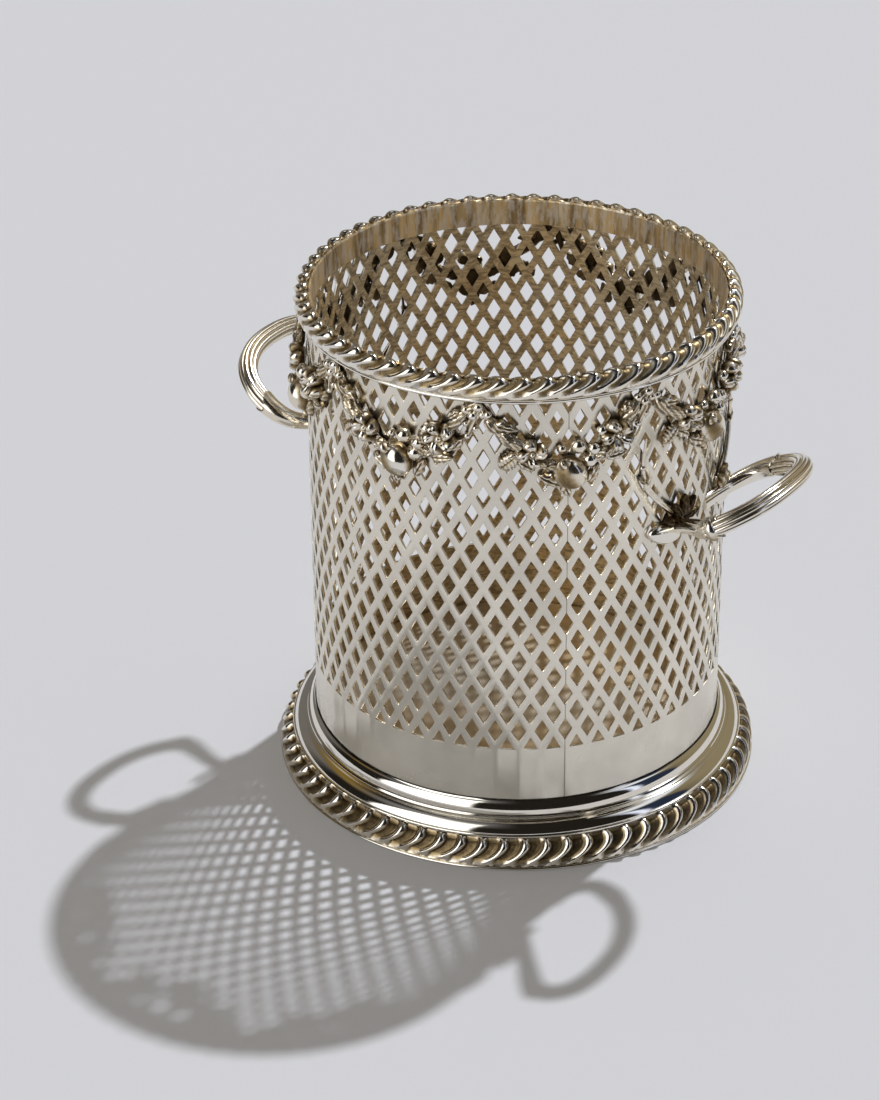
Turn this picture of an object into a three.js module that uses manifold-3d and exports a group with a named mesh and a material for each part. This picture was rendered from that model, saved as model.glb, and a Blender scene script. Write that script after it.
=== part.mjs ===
// Bottle holder of silver-plated metal: a pierced drum on a stepped foot, with gadroon borders, festoons
// and two reeded loop handles.
// Millimetres, +Z up. The origin is on the ground under the centre of the foot, and the handles lie along X.
import * as THREE from "three";
import { mergeVertices } from "three/addons/utils/BufferGeometryUtils.js";
import Module from "manifold-3d";

const wasm = await Module();
wasm.setup();

// Driving dimensions
const GAP = 0.3; // between pieces that touch
const FINE = 0.01; // how far a face may move when flat faces are merged
const COARSE = 0.15; // the same on small castings
const RING_SIDES = 40;

// Foot, from the ground up
const EDGE_TALL = 0.9;
const EDGE_WIDE = 6.5;
const EDGE_LIP = 0.2; // reach past the gadroon border above it
const FOOT_LOBES = 70;
const FOOT_GADROON_TALL = 7.4;
const FOOT_GADROON_WIDE = 5;
const FOOT_REACH = 11.3; // reach of the gadroon border past the drum
const MOULDING_TALL = 8.7;
const MOULDING_WIDE = 6.9;

// Drum
const DRUM_R = 62; // outer radius of the rolled sheet
const DRUM_TALL = 141;
const SHEET = 1; // thickness of the rolled sheet
const COLUMNS = 26;
const SIDES = 2 * COLUMNS; // the tips of the diamonds lie on the edges between facets
const HALF_ROWS = 9;
const PLAIN_LOW = 25.8; // plain band under the diamonds
const PLAIN_HIGH = 1.8; // plain band over them
const HOLE_SHARE = 0.63; // diamond over pitch, both ways

// Floor of the holder
const FLOOR_RISE = 2.8; // above the drum's lower edge
const FLOOR_THICK = 1.2;

// Rim
const RIM_LOBES = 60;
const RIM_TALL = 6.2;
const RIM_WIDE = 4.2;
const RIM_LAP = 0.9; // reach over the sheet's edge, inwards from its outside
const FLANGE_TALL = 1.3;
const FLANGE_WIDE = 1.4;
const COLLAR_TALL = 8.2;
const COLLAR_THICK = 0.55;
const COLLAR_BELOW = 0.9; // under the rim's crest
const LOBE_STEPS = 3;
const LOBE_DEPTH = 1.2;

// Festoons
const SWAGS = 8;
const SWAG_BELOW = 2.5; // ends of a strand under the drum's upper edge
const SWAG_DROP = 19.7;
const SWAG_APART = 2.15; // half the room between two strands
const STRAND_R = 1.7;
const FRUIT_R = 4.7;

// Handles
const HANDLE_BELOW = 50.4; // from the drum's upper edge to where the plane of a handle meets the drum
const HANDLE_TILT = THREE.MathUtils.degToRad(29);
const LOOP_OUT = 16.4; // centre of the oval loop, out from the drum in the tilted plane
const LOOP_A = 14.8; // half the loop, outwards
const LOOP_B = 25; // half the loop, sideways
const LOOP_END = THREE.MathUtils.degToRad(105); // the loop runs from minus to plus this angle
const LOOP_STEPS = 14;
const BAND_HALF = 2.85; // half the width of the reeded loop at a valley
const BAND_THICK = 2.6; // half its thickness there
const REEDS = 10;
const REED_RISE = 0.3;
const CALYX_WALL = 0.6; // round the end of the loop
const CALYX_START = THREE.MathUtils.degToRad(94); // on the loop, at the notches between its tips
const CALYX_TIP = THREE.MathUtils.degToRad(9); // how much further along the loop its two tips reach
const CALYX_LEAF_R = 2.2; // leaves that curl beside a calyx
const SPRAY_R = 1.5; // half the width of a tendril at its root
const SPRAY_WIDE = 28.5;
const SPRAY_TALL = 26;

// What follows from them
const GADROON_LOW = EDGE_TALL + GAP;
const MOULDING_LOW = GADROON_LOW + FOOT_GADROON_TALL + GAP;
const DRUM_LOW = MOULDING_LOW + GAP;
const DRUM_HIGH = DRUM_LOW + DRUM_TALL;
const RIM_LOW = DRUM_HIGH + GAP;
const RIM_HIGH = RIM_LOW + RIM_TALL;
const FOOT_R = DRUM_R + FOOT_REACH;
const RING_BORE = (DRUM_R + GAP) / Math.cos(Math.PI / RING_SIDES); // clears the drum with its flats
const INNER_R = (DRUM_R - SHEET) * Math.cos(Math.PI / SIDES) - GAP; // clears the drum's inner flats
const HANDLE_Z = DRUM_HIGH - HANDLE_BELOW;
const SWAG_HIGH = DRUM_HIGH - SWAG_BELOW;
const SWAG_LOW = SWAG_HIGH - SWAG_DROP;
const SWAG_HALF = (Math.PI * DRUM_R) / SWAGS - SWAG_APART; // half the run of a strand round the drum

// Finishes
const satin = new THREE.MeshStandardMaterial({ color: 0xbdb6aa, roughness: 0.38, metalness: 1 });
const polished = new THREE.MeshStandardMaterial({ color: 0xd6d0c4, roughness: 0.1, metalness: 1 });
const cast = new THREE.MeshStandardMaterial({ color: 0xb9af9b, roughness: 0.25, metalness: 1 });
const tarnished = new THREE.MeshStandardMaterial({ color: 0x9c8663, roughness: 0.45, metalness: 1 });

// Directions on the drum: 0 looks to -Y and grows towards +X
function radial(angle) {
  return new THREE.Vector3(Math.sin(angle), -Math.cos(angle), 0);
}

function tangent(angle) {
  return new THREE.Vector3(Math.cos(angle), Math.sin(angle), 0);
}

const UP = new THREE.Vector3(0, 0, 1);

// A local frame on the drum: x runs round it, y up and z out
function onDrum(round, height, lift) {
  const angle = round / DRUM_R;
  const place = radial(angle).multiplyScalar(DRUM_R + GAP + lift);
  place.z = height;
  return new THREE.Matrix4().makeBasis(tangent(angle), UP, radial(angle)).setPosition(place);
}

// Solids for cutting and joining
function solid(geometry) {
  const bare = geometry.index ? geometry.toNonIndexed() : geometry.clone();
  bare.deleteAttribute("normal");
  bare.deleteAttribute("uv");
  const merged = mergeVertices(bare, FINE / 100);
  const make = (triVerts) =>
    new wasm.Manifold(
      new wasm.Mesh({ numProp: 3, vertProperties: merged.attributes.position.array, triVerts }),
    );
  const index = new Uint32Array(merged.index.array);
  const made = make(index);
  return made.volume() > 0 ? made : make(index.reverse());
}

function geometryOf(body, tolerance = FINE) {
  const once = facets(body.asOriginal().simplify(tolerance));
  return facets(solid(once).simplify(tolerance));
}

function facets(body) {
  const mesh = body.getMesh();
  const geometry = new THREE.BufferGeometry();
  const points = new Float32Array(mesh.triVerts.length * 3);
  mesh.triVerts.forEach((v, i) => {
    for (let k = 0; k < 3; k++) points[i * 3 + k] = mesh.vertProperties[v * mesh.numProp + k];
  });
  geometry.setAttribute("position", new THREE.BufferAttribute(points, 3));
  geometry.computeVertexNormals();
  return geometry;
}

function join(pieces) {
  return pieces.map(solid).reduce((whole, next) => whole.add(next));
}

// A turned ring or disc from a closed profile of radius and height
function turned(profile, sides) {
  const points = [...profile, profile[0]].map(([r, z]) => new THREE.Vector2(r, z));
  return new THREE.LatheGeometry(points, sides).rotateX(Math.PI / 2);
}

// A skin over rows of points: closed round each row, and closed end to end or capped
function skin(rows, closed) {
  const count = rows[0].length;
  const positions = rows.flat().flatMap((p) => [p.x, p.y, p.z]);
  const index = [];
  const last = closed ? rows.length : rows.length - 1;
  for (let i = 0; i < last; i++) {
    for (let j = 0; j < count; j++) {
      const a = i * count + j;
      const b = ((i + 1) % rows.length) * count + j;
      const c = ((i + 1) % rows.length) * count + ((j + 1) % count);
      const d = i * count + ((j + 1) % count);
      index.push(a, b, c, a, c, d);
    }
  }
  if (!closed) {
    const end = (rows.length - 1) * count;
    for (let j = 1; j < count - 1; j++) {
      index.push(0, j, j + 1);
      index.push(end, end + j + 1, end + j);
    }
  }
  const geometry = new THREE.BufferGeometry();
  geometry.setAttribute("position", new THREE.Float32BufferAttribute(positions, 3));
  geometry.setIndex(index);
  return geometry;
}

// Pierced drum
function drum() {
  const tube = turned(
    [
      [DRUM_R - SHEET, DRUM_LOW],
      [DRUM_R, DRUM_LOW],
      [DRUM_R, DRUM_HIGH],
      [DRUM_R - SHEET, DRUM_HIGH],
    ],
    SIDES,
  );
  const pitch = (2 * Math.PI) / COLUMNS;
  const lowest = DRUM_LOW + PLAIN_LOW;
  const rise = (DRUM_TALL - PLAIN_LOW - PLAIN_HIGH) / HALF_ROWS;
  const wide = (DRUM_R * pitch * HOLE_SHARE) / 2;
  const tall = rise * HOLE_SHARE;
  const cutters = [];
  for (let row = 0; row <= HALF_ROWS; row++) {
    const above = row === HALF_ROWS ? 0 : tall;
    const below = row === 0 ? 0 : tall;
    const outline = [new THREE.Vector2(wide, 0)];
    if (above) outline.push(new THREE.Vector2(0, above));
    outline.push(new THREE.Vector2(-wide, 0));
    if (below) outline.push(new THREE.Vector2(0, -below));
    for (let column = 0; column < COLUMNS; column++) {
      const angle = (column + (row % 2) / 2) * pitch;
      const cutter = new THREE.ExtrudeGeometry(new THREE.Shape(outline), {
        depth: 4 * SHEET,
        bevelEnabled: false,
      });
      const place = radial(angle).multiplyScalar(DRUM_R - 2.5 * SHEET);
      place.z = lowest + row * rise;
      cutter.applyMatrix4(
        new THREE.Matrix4().makeBasis(tangent(angle), UP, radial(angle)).setPosition(place),
      );
      cutters.push(solid(cutter));
    }
  }
  return geometryOf(solid(tube).subtract(wasm.Manifold.union(cutters)));
}

// Comma-shaped lobe: its height over one pitch, full at the crest and zero in the valley
function lobe(step, row) {
  const phase = (((step - row) % LOBE_STEPS) + LOBE_STEPS) % LOBE_STEPS;
  return [1, 0.55, 0][phase];
}

// Gadroon ring: a section whose rows slide by one step each, so that the lobes lean over.
// A row is its place in the section, across and up, and how far a valley sinks there, inwards and down.
function gadroon(lobes, inner, low, wide, tall, sectionShares) {
  const steps = lobes * LOBE_STEPS;
  const rows = [];
  for (let i = 0; i < steps; i++) {
    const angle = (2 * Math.PI * i) / steps;
    rows.push(
      sectionShares.map(([across, up, sinkIn, sinkDown], row) => {
        const sink = (1 - lobe(i, row)) * LOBE_DEPTH;
        const point = radial(angle).multiplyScalar(inner + across * wide - sink * sinkIn);
        point.z = low + up * tall - sink * sinkDown;
        return point;
      }),
    );
  }
  return skin(rows, true);
}

const rimShares = [
  [0, 0, 0, 0],
  [0.93, 0.045, 0.9, 0],
  [1, 0.64, 1, 0.4],
  [0.17, 1, 0, 0.7],
];
const footShares = [
  [0, 0, 0, 0],
  [1, 0.04, 0.9, 0],
  [0.9, 0.65, 1, 0.3],
  [0.28, 1, 0, 0.6],
];

// Stepped foot, across and up: two rounded steps, each with a narrow fillet at its edge
const mouldingShares = [
  [0, 0],
  [1, 0],
  [1, 0.09],
  [0.91, 0.13],
  [0.74, 0.37],
  [0.34, 0.44],
  [0.34, 0.55],
  [0.27, 0.58],
  [0.19, 0.88],
  [0, 1],
];

// Bright flange under the rim, across and up, with a rounded face
const flangeShares = [
  [0, 0],
  [0.8, 0],
  [1, 0.5],
  [0.8, 1],
  [0, 1],
];

// Ring with its bore at a radius and its lower side at a height
function ring(bore, low, wide, tall, shares) {
  const profile = shares.map(([across, up]) => [bore + across * wide, low + up * tall]);
  return turned(profile, RING_SIDES);
}

const squareShares = [
  [0, 0],
  [1, 0],
  [1, 1],
  [0, 1],
];

// Festoon pieces. Each has its place on the strand, as a share of its half, and from there its own place
// aside, above and out, in shares of the middle fruit's radius.
function strandHeight(round) {
  return SWAG_LOW + SWAG_DROP * (Math.abs(round) / SWAG_HALF) ** 1.35;
}

function onStrand(share, aside, above, out) {
  const round = share * SWAG_HALF;
  const height = strandHeight(round) + above * FRUIT_R;
  return onDrum(round + aside * FRUIT_R, height, out * FRUIT_R);
}

function berry(place, sizeShare) {
  return new THREE.IcosahedronGeometry(sizeShare * FRUIT_R).applyMatrix4(place);
}

function fruit(place, sizeShare) {
  return new THREE.SphereGeometry(sizeShare * FRUIT_R, 7, 5).applyMatrix4(place);
}

// Pointed leaf, widest near its root, with a raised rib: along it, half its width there
const leafShares = [
  [-1, 0.25],
  [-0.4, 0.95],
  [0.25, 0.75],
  [1, 0.08],
];

function leaf(place, lengthShare, widthShare, lean) {
  const rows = leafShares.map(([along, wide]) => {
    const x = along * lengthShare * FRUIT_R;
    const y = wide * widthShare * FRUIT_R;
    const rib = (0.3 + 0.7 * wide) * widthShare * 0.75 * FRUIT_R;
    return [
      new THREE.Vector3(x, y, 0),
      new THREE.Vector3(x, 0, rib),
      new THREE.Vector3(x, -y, 0),
      new THREE.Vector3(x, 0, -rib),
    ];
  });
  return skin(rows, false).rotateZ(lean).applyMatrix4(place);
}

// Flower with five petals round a raised eye
function flower(place, sizeShare) {
  const r = sizeShare * FRUIT_R;
  const circle = (share, notch, lift) =>
    Array.from({ length: 10 }, (_, k) => {
      const turn = (Math.PI * k) / 5;
      const reach = r * share * (k % 2 ? notch : 1);
      return new THREE.Vector3(reach * Math.cos(turn), reach * Math.sin(turn), lift * r).applyMatrix4(place);
    });
  return skin([circle(1, 0.66, -0.2), circle(1, 0.66, 0.25), circle(0.35, 1, 0.65)], false);
}

function strand() {
  const rows = [];
  const steps = 6;
  for (let i = 0; i <= steps; i++) {
    const share = (2 * i) / steps - 1;
    const round = SWAG_HALF * share;
    const next = SWAG_HALF / 100;
    const slope = (strandHeight(round + next) - strandHeight(round - next)) / (2 * next);
    const across = new THREE.Vector2(-slope, 1).normalize();
    const r = STRAND_R * (0.7 + 0.3 * Math.cos(share * (Math.PI / 2)));
    const frame = onDrum(round, strandHeight(round), STRAND_R / 3);
    rows.push(
      [0, 1, 2, 3].map((k) => {
        const turn = (Math.PI * k) / 2;
        const side = r * Math.cos(turn);
        const out = r * Math.sin(turn);
        return new THREE.Vector3(across.x * side, across.y * side, out).applyMatrix4(frame);
      }),
    );
  }
  return skin(rows, false);
}

// What carries the trim: everything inside this is cut away
function wallCore() {
  const inner = DRUM_R / 2;
  return solid(ring(inner, DRUM_LOW, RING_BORE - inner, DRUM_TALL + RIM_TALL, squareShares));
}

function festoon() {
  const pieces = [
    strand(),
    fruit(onStrand(0, 0.1, -0.1, 0.23), 1),
    berry(onStrand(0, 0.6, 1, 0.24), 0.49),
    berry(onStrand(0, 1.45, 0.7, 0.2), 0.4),
    berry(onStrand(0, -0.8, 0.7, 0.2), 0.36),
    leaf(onStrand(0, -1.15, -0.6, 0.12), 0.9, 0.43, 0.6 + Math.PI),
    leaf(onStrand(0, 1.4, -0.5, 0.12), 0.94, 0.43, -0.75),
    flower(onStrand(-0.42, 0, 0.15, 0), 0.98),
    leaf(onStrand(-0.42, -0.9, -0.65, 0.12), 0.98, 0.5, 0.7 + Math.PI),
    leaf(onStrand(-0.42, -1.45, 1, 0.12), 0.8, 0.36, 2.3),
    flower(onStrand(0.63, 0, -0.25, 0), 1.1),
    leaf(onStrand(0.63, 0.45, -1.3, 0.12), 0.94, 0.43, -0.9),
    leaf(onStrand(0.63, 0.9, 0.9, 0.12), 0.8, 0.36, 0.5),
  ];
  return geometryOf(join(pieces).subtract(wallCore()), COARSE);
}

// Boss and pendant leaf where two festoons meet
function joint() {
  const hung = (above, out) => onDrum(0, SWAG_HIGH + above * FRUIT_R, out * FRUIT_R);
  const pieces = [
    berry(hung(-0.34, 0.17), 0.32),
    leaf(hung(-1.25, 0.1), 0.85, 0.32, -Math.PI / 2),
  ];
  return geometryOf(join(pieces).subtract(wallCore()), COARSE);
}

// Plane of the handle at +X: out, sideways and off the plane
function handleFrame() {
  const out = new THREE.Vector3(Math.cos(HANDLE_TILT), 0, Math.sin(HANDLE_TILT));
  const side = new THREE.Vector3(0, 1, 0);
  const off = new THREE.Vector3().crossVectors(out, side);
  const place = new THREE.Vector3(DRUM_R, 0, HANDLE_Z);
  return new THREE.Matrix4().makeBasis(out, side, off).setPosition(place);
}

const handle = handleFrame();

function loopPoint(angle) {
  return new THREE.Vector2(LOOP_OUT + LOOP_A * Math.cos(angle), LOOP_B * Math.sin(angle));
}

function loopHeading(angle) {
  return new THREE.Vector2(-LOOP_A * Math.sin(angle), LOOP_B * Math.cos(angle)).normalize();
}

// Section of the loop, across it and off its plane: a reed's ridge and a valley by turns
function bandSection() {
  const count = 2 * REEDS;
  return Array.from({ length: count }, (_, k) => {
    const turn = (2 * Math.PI * k) / count;
    const rise = k % 2 ? 0 : REED_RISE;
    return [(BAND_HALF + rise) * Math.cos(turn), (BAND_THICK + rise) * Math.sin(turn)];
  });
}

// A point beside a path in the handle's plane, across it and off the plane
function beside(centre, way, across, off) {
  return new THREE.Vector3(centre.x + way.y * across, centre.y - way.x * across, off);
}

function reededLoop() {
  const section = bandSection();
  const rows = [];
  for (let i = 0; i <= LOOP_STEPS; i++) {
    const angle = LOOP_END * ((2 * i) / LOOP_STEPS - 1);
    const centre = loopPoint(angle);
    const heading = loopHeading(angle);
    rows.push(
      section.map(([across, off]) => beside(centre, heading, across, off).applyMatrix4(handle)),
    );
  }
  return geometryOf(solid(skin(rows, false)));
}

// Room for the end of the loop in its calyx
function socket() {
  const clear = REED_RISE + GAP;
  const steps = 3;
  const first = CALYX_START - 2 * CALYX_TIP;
  const rows = [];
  for (let i = 0; i <= steps; i++) {
    const angle = first + ((LOOP_END - first) * i) / steps;
    const centre = loopPoint(angle);
    const heading = loopHeading(angle);
    if (i === steps) centre.addScaledVector(heading, GAP);
    rows.push(
      Array.from({ length: REEDS }, (_, k) => {
        const turn = (2 * Math.PI * k) / REEDS;
        const across = ((BAND_HALF + clear) * Math.cos(turn)) / Math.cos(Math.PI / REEDS);
        const off = ((BAND_THICK + clear) * Math.sin(turn)) / Math.cos(Math.PI / REEDS);
        return beside(centre, heading, across, off);
      }),
    );
  }
  return solid(skin(rows, false));
}

// Half the width of a strut, row by row, over that of its calyx: the calyx, then the way to the drum
const calyxShares = [1, 1.04, 1.04];
const strutShares = [1, 0.86, 0.68, 0.58, 0.56, 0.66, 1.05];

// Strut from the drum to one end of the loop, which it holds in a calyx with two pointed tips
function strut(side) {
  const end = loopPoint(LOOP_END);
  const heading = loopHeading(LOOP_END);
  const path = new THREE.CubicBezierCurve(
    end.clone(),
    end.clone().addScaledVector(heading, 0.36 * LOOP_B),
    new THREE.Vector2(0.11 * LOOP_OUT, 0.58 * LOOP_B),
    new THREE.Vector2(-0.09 * LOOP_OUT, 0.26 * LOOP_B),
  );
  const calyxHalf = BAND_HALF + REED_RISE + GAP + CALYX_WALL;
  const calyxThick = BAND_THICK + REED_RISE + GAP + CALYX_WALL;
  const sides = 8;
  const turns = Array.from({ length: sides }, (_, k) => (2 * Math.PI * k) / sides);
  const row = (share, spot) =>
    turns.map((turn) => {
      const [centre, way] = spot(turn);
      return beside(centre, way, share * calyxHalf * Math.cos(turn), share * calyxThick * Math.sin(turn));
    });
  const rows = calyxShares.map((share, i) =>
    row(share, (turn) => {
      const start = CALYX_START - CALYX_TIP * Math.cos(turn) ** 2;
      const angle = start + ((LOOP_END - start) * i) / calyxShares.length;
      return [loopPoint(angle), loopHeading(angle)];
    }),
  );
  strutShares.forEach((share, i) => {
    const s = i / (strutShares.length - 1);
    rows.push(row(share, () => [path.getPoint(s), path.getTangent(s)]));
  });
  const curl = new THREE.OctahedronGeometry(CALYX_LEAF_R)
    .scale(0.6, 1.5, 0.7)
    .rotateX(0.5)
    .translate(0.56 * LOOP_OUT, 0.78 * LOOP_B, calyxThick / 2);
  const wallLeaf = new THREE.OctahedronGeometry(CALYX_LEAF_R)
    .scale(0.8, 1.9, 0.7)
    .rotateZ(-0.5)
    .translate(0.28 * LOOP_OUT, 0.74 * LOOP_B, -calyxThick / 3);
  const seated = geometryOf(join([skin(rows, false), curl, wallLeaf]).subtract(socket()));
  if (side < 0) seated.scale(1, -1, 1);
  return geometryOf(solid(seated.applyMatrix4(handle)).subtract(wallCore()));
}

// Two tendrils that lie on the drum beside a strut, aside of the handle's middle and up from its plane
const sprayShares = [
  [
    [0.49, 0.18],
    [0.67, 0.23],
    [0.84, 0.42],
    [1, 0.77],
  ],
  [
    [0.6, 0.21],
    [0.81, 0.31],
    [0.86, 0.65],
    [0.9, 1],
  ],
];

function spray(side) {
  const pieces = sprayShares.map((run) => {
    const path = new THREE.CubicBezierCurve(
      ...run.map(([aside, up]) => new THREE.Vector2(aside * SPRAY_WIDE, HANDLE_Z + up * SPRAY_TALL)),
    );
    const rows = [];
    const steps = 6;
    for (let i = 0; i <= steps; i++) {
      const s = i / steps;
      const spot = path.getPoint(s);
      const way = path.getTangent(s);
      const wide = SPRAY_R * (1 - 0.65 * s);
      const frame = onDrum(DRUM_R * (Math.PI / 2) + spot.x, spot.y, SPRAY_R / 5);
      rows.push(
        [
          [1, 0],
          [0, 1],
          [-1, 0],
          [0, -1],
        ].map(([across, off]) =>
          new THREE.Vector3(-way.y * across * wide, way.x * across * wide, 0.75 * off * SPRAY_R)
            .applyMatrix4(frame),
        ),
      );
    }
    return skin(rows, false);
  });
  const body = geometryOf(join(pieces).subtract(wallCore()), COARSE);
  if (side < 0) body.scale(1, -1, 1);
  return geometryOf(solid(body));
}

// The object
const root = new THREE.Group();

function add(name, geometry, material, turn = 0, parent = root) {
  const mesh = new THREE.Mesh(geometry, material);
  mesh.name = name;
  mesh.rotation.z = turn;
  parent.add(mesh);
}

add("drum", drum(), satin);
const floorLow = DRUM_LOW + FLOOR_RISE;
add(
  "floor_plate",
  new THREE.CylinderGeometry(INNER_R, INNER_R, FLOOR_THICK, RING_SIDES)
    .rotateX(Math.PI / 2)
    .translate(0, 0, floorLow + FLOOR_THICK / 2),
  tarnished,
);
const rimBore = DRUM_R - RIM_LAP;
add("rim_gadroon", gadroon(RIM_LOBES, rimBore, RIM_LOW, RIM_WIDE, RIM_TALL, rimShares), cast);
const flangeLow = DRUM_HIGH - FLANGE_TALL;
add("rim_flange", ring(RING_BORE, flangeLow, FLANGE_WIDE, FLANGE_TALL, flangeShares), polished);
const collarLow = RIM_HIGH - COLLAR_BELOW - COLLAR_TALL;
const collarBore = INNER_R - COLLAR_THICK;
add("rim_collar", ring(collarBore, collarLow, COLLAR_THICK, COLLAR_TALL, squareShares), tarnished);
add("foot_moulding", ring(RING_BORE, MOULDING_LOW, MOULDING_WIDE, MOULDING_TALL, mouldingShares), polished);
const footBore = FOOT_R - FOOT_GADROON_WIDE;
add(
  "foot_gadroon",
  gadroon(FOOT_LOBES, footBore, GADROON_LOW, FOOT_GADROON_WIDE, FOOT_GADROON_TALL, footShares),
  cast,
);
const edgeBore = FOOT_R + EDGE_LIP - EDGE_WIDE;
add("foot_edge", ring(edgeBore, 0, EDGE_WIDE, EDGE_TALL, squareShares), polished);

const festoonShape = festoon();
const jointShape = joint();
const eighth = (2 * Math.PI) / SWAGS;
for (let k = 0; k < SWAGS; k++) {
  add(`festoon_${k + 1}`, festoonShape, cast, k * eighth);
  add(`festoon_joint_${k + 1}`, jointShape, cast, (k + 0.5) * eighth);
}

const loopShape = reededLoop();
const strutShapes = { near: strut(-1), far: strut(1) };
const sprayShapes = { near: spray(-1), far: spray(1) };
["right", "left"].forEach((name, k) => {
  const both = new THREE.Group();
  both.rotation.z = k * Math.PI;
  add(`handle_${name}_loop`, loopShape, cast, 0, both);
  for (const end of ["near", "far"]) {
    add(`handle_${name}_strut_${end}`, strutShapes[end], cast, 0, both);
    add(`handle_${name}_spray_${end}`, sprayShapes[end], cast, 0, both);
  }
  root.add(both);
});

export default root;
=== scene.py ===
# Looks of the bottle holder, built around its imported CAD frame
import math

import bmesh
import bpy
import numpy as np
from mathutils import Matrix, Vector


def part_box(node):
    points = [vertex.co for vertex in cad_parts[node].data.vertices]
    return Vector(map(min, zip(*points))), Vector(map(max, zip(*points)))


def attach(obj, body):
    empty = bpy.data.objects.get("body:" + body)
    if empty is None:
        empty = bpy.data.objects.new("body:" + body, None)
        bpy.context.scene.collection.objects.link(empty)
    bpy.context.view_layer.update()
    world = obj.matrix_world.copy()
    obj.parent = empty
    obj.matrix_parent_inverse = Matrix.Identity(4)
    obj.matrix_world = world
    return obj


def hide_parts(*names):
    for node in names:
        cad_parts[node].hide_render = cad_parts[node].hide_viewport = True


bl_info = {
    "name": "Bottle holder",
    "version": (1, 0, 0),
    "blender": (4, 5, 0),
    "location": "3D View > Sidebar > Bottle holder",
    "description": "Pierced silver bottle holder with gadroon borders, festoons and loop handles",
    "category": "Object",
}

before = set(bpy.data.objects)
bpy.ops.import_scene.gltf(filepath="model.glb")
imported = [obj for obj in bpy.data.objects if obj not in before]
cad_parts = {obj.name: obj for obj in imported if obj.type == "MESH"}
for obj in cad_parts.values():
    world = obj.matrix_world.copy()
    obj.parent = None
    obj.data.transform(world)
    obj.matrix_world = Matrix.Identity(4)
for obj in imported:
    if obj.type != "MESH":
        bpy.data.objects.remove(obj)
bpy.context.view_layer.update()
MM = 0.001
BODY = "root"
DRUM_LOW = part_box("drum")[0].z
DRUM_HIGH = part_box("drum")[1].z
SWAGS = 8


def size_prop(name, description, default):
    return bpy.props.FloatProperty(
        name=name, description=description, default=default, unit="LENGTH", precision=5
    )


def angle_prop(name, description, degrees):
    return bpy.props.FloatProperty(
        name=name, description=description, default=math.radians(degrees), unit="ROTATION"
    )


def count_prop(name, description, default, least):
    return bpy.props.IntProperty(name=name, description=description, default=default, min=least)


def level_prop(name, description, default, least=0.0, most=100.0):
    return bpy.props.FloatProperty(name=name, description=description, default=default, min=least, max=most)


def colour_prop(name, description, default):
    return bpy.props.FloatVectorProperty(
        name=name, description=description, default=default, subtype="COLOR"
    )


class DrumSizes(bpy.types.PropertyGroup):
    """Sizes of the pierced drum"""

    radius: size_prop("Radius", "Outer radius of the sheet", 0.062)
    sheet: size_prop("Sheet", "Thickness of the sheet", 0.001)
    columns: count_prop("Columns", "Diamonds in one row", 57, 8)
    rows: count_prop("Rows", "Rows of whole diamonds", 18, 2)
    first_row: size_prop("First row", "Height of the lowest whole diamonds", 0.0413)
    half_row: size_prop("Row step", "Rise from one row to the next", 0.00593)
    hole_share: level_prop("Hole share", "Diamond over pitch, both ways", 0.625, 0.2, 0.9)
    seam: angle_prop("Seam", "Where the rolled sheet meets", 45.8)


class BorderSizes(bpy.types.PropertyGroup):
    """Sizes of the two gadroon borders"""

    rim_lobes: count_prop("Rim lobes", "Lobes round the rim", 60, 8)
    foot_lobes: count_prop("Foot lobes", "Lobes round the foot", 70, 8)
    depth: size_prop("Depth", "Depth of the grooves between lobes", 0.0013)


class FestoonSizes(bpy.types.PropertyGroup):
    """Sizes of the festoons"""

    count: count_prop("Festoons", "Festoons round the drum", SWAGS, 2)
    fruit: size_prop("Fruit", "Radius of the middle fruit", 0.0047)


class HandleSizes(bpy.types.PropertyGroup):
    """Sizes of the loop handles"""

    height: size_prop("Height", "Where the plane of a handle meets the drum", 0.0998)
    tilt: angle_prop("Tilt", "Rise of the handle's plane", 29)
    centre: size_prop("Centre", "Middle of the oval, out from the drum", 0.0128)
    out: size_prop("Half length", "Half the oval, outwards", 0.0196)
    side: size_prop("Half width", "Half the oval, sideways", 0.0246)


class FinishColours(bpy.types.PropertyGroup):
    """Colours of the metal"""

    satin: colour_prop("Satin", "Outside of the drum", (0.9, 0.85, 0.74))
    bright: colour_prop("Bright", "Polished and cast pieces", (0.9, 0.87, 0.8))
    aged: colour_prop("Aged", "Inside of the drum", (0.74, 0.63, 0.43))
    golden: colour_prop("Golden", "Thin golden film", (0.78, 0.58, 0.3))
    # This dark film colour also paints the shade on the backs of cast pieces black.
    hollow_and_shade: colour_prop("Hollows", "Dark film in the hollows", (0.12, 0.08, 0.04))


class StageSettings(bpy.types.PropertyGroup):
    """Floor and lamps"""

    floor: colour_prop("Floor", "Colour of the paper", (0.66, 0.665, 0.69))
    key: level_prop("Key", "Strength of the key lamp", 2.35)
    soft: level_prop("Soft", "Strength of the soft light", 0.45)


# Meshes


def grid_faces(rows, count, closed):
    """Quads over rows of points that are each closed, end to end if closed."""
    faces = []
    for i in range(rows if closed else rows - 1):
        low = i * count
        high = ((i + 1) % rows) * count
        for j in range(count):
            k = (j + 1) % count
            faces.append((low + j, low + k, high + k, high + j))
    return faces


def full_turn(count):
    """Angles all the way round."""
    return np.linspace(0, 2 * math.pi, count, endpoint=False)


def round_axis(angle, reach, height):
    """Points at angles about the upright axis, measured from the front towards the right."""
    return np.stack(np.broadcast_arrays(reach * np.sin(angle), -reach * np.cos(angle), height), -1)


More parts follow.
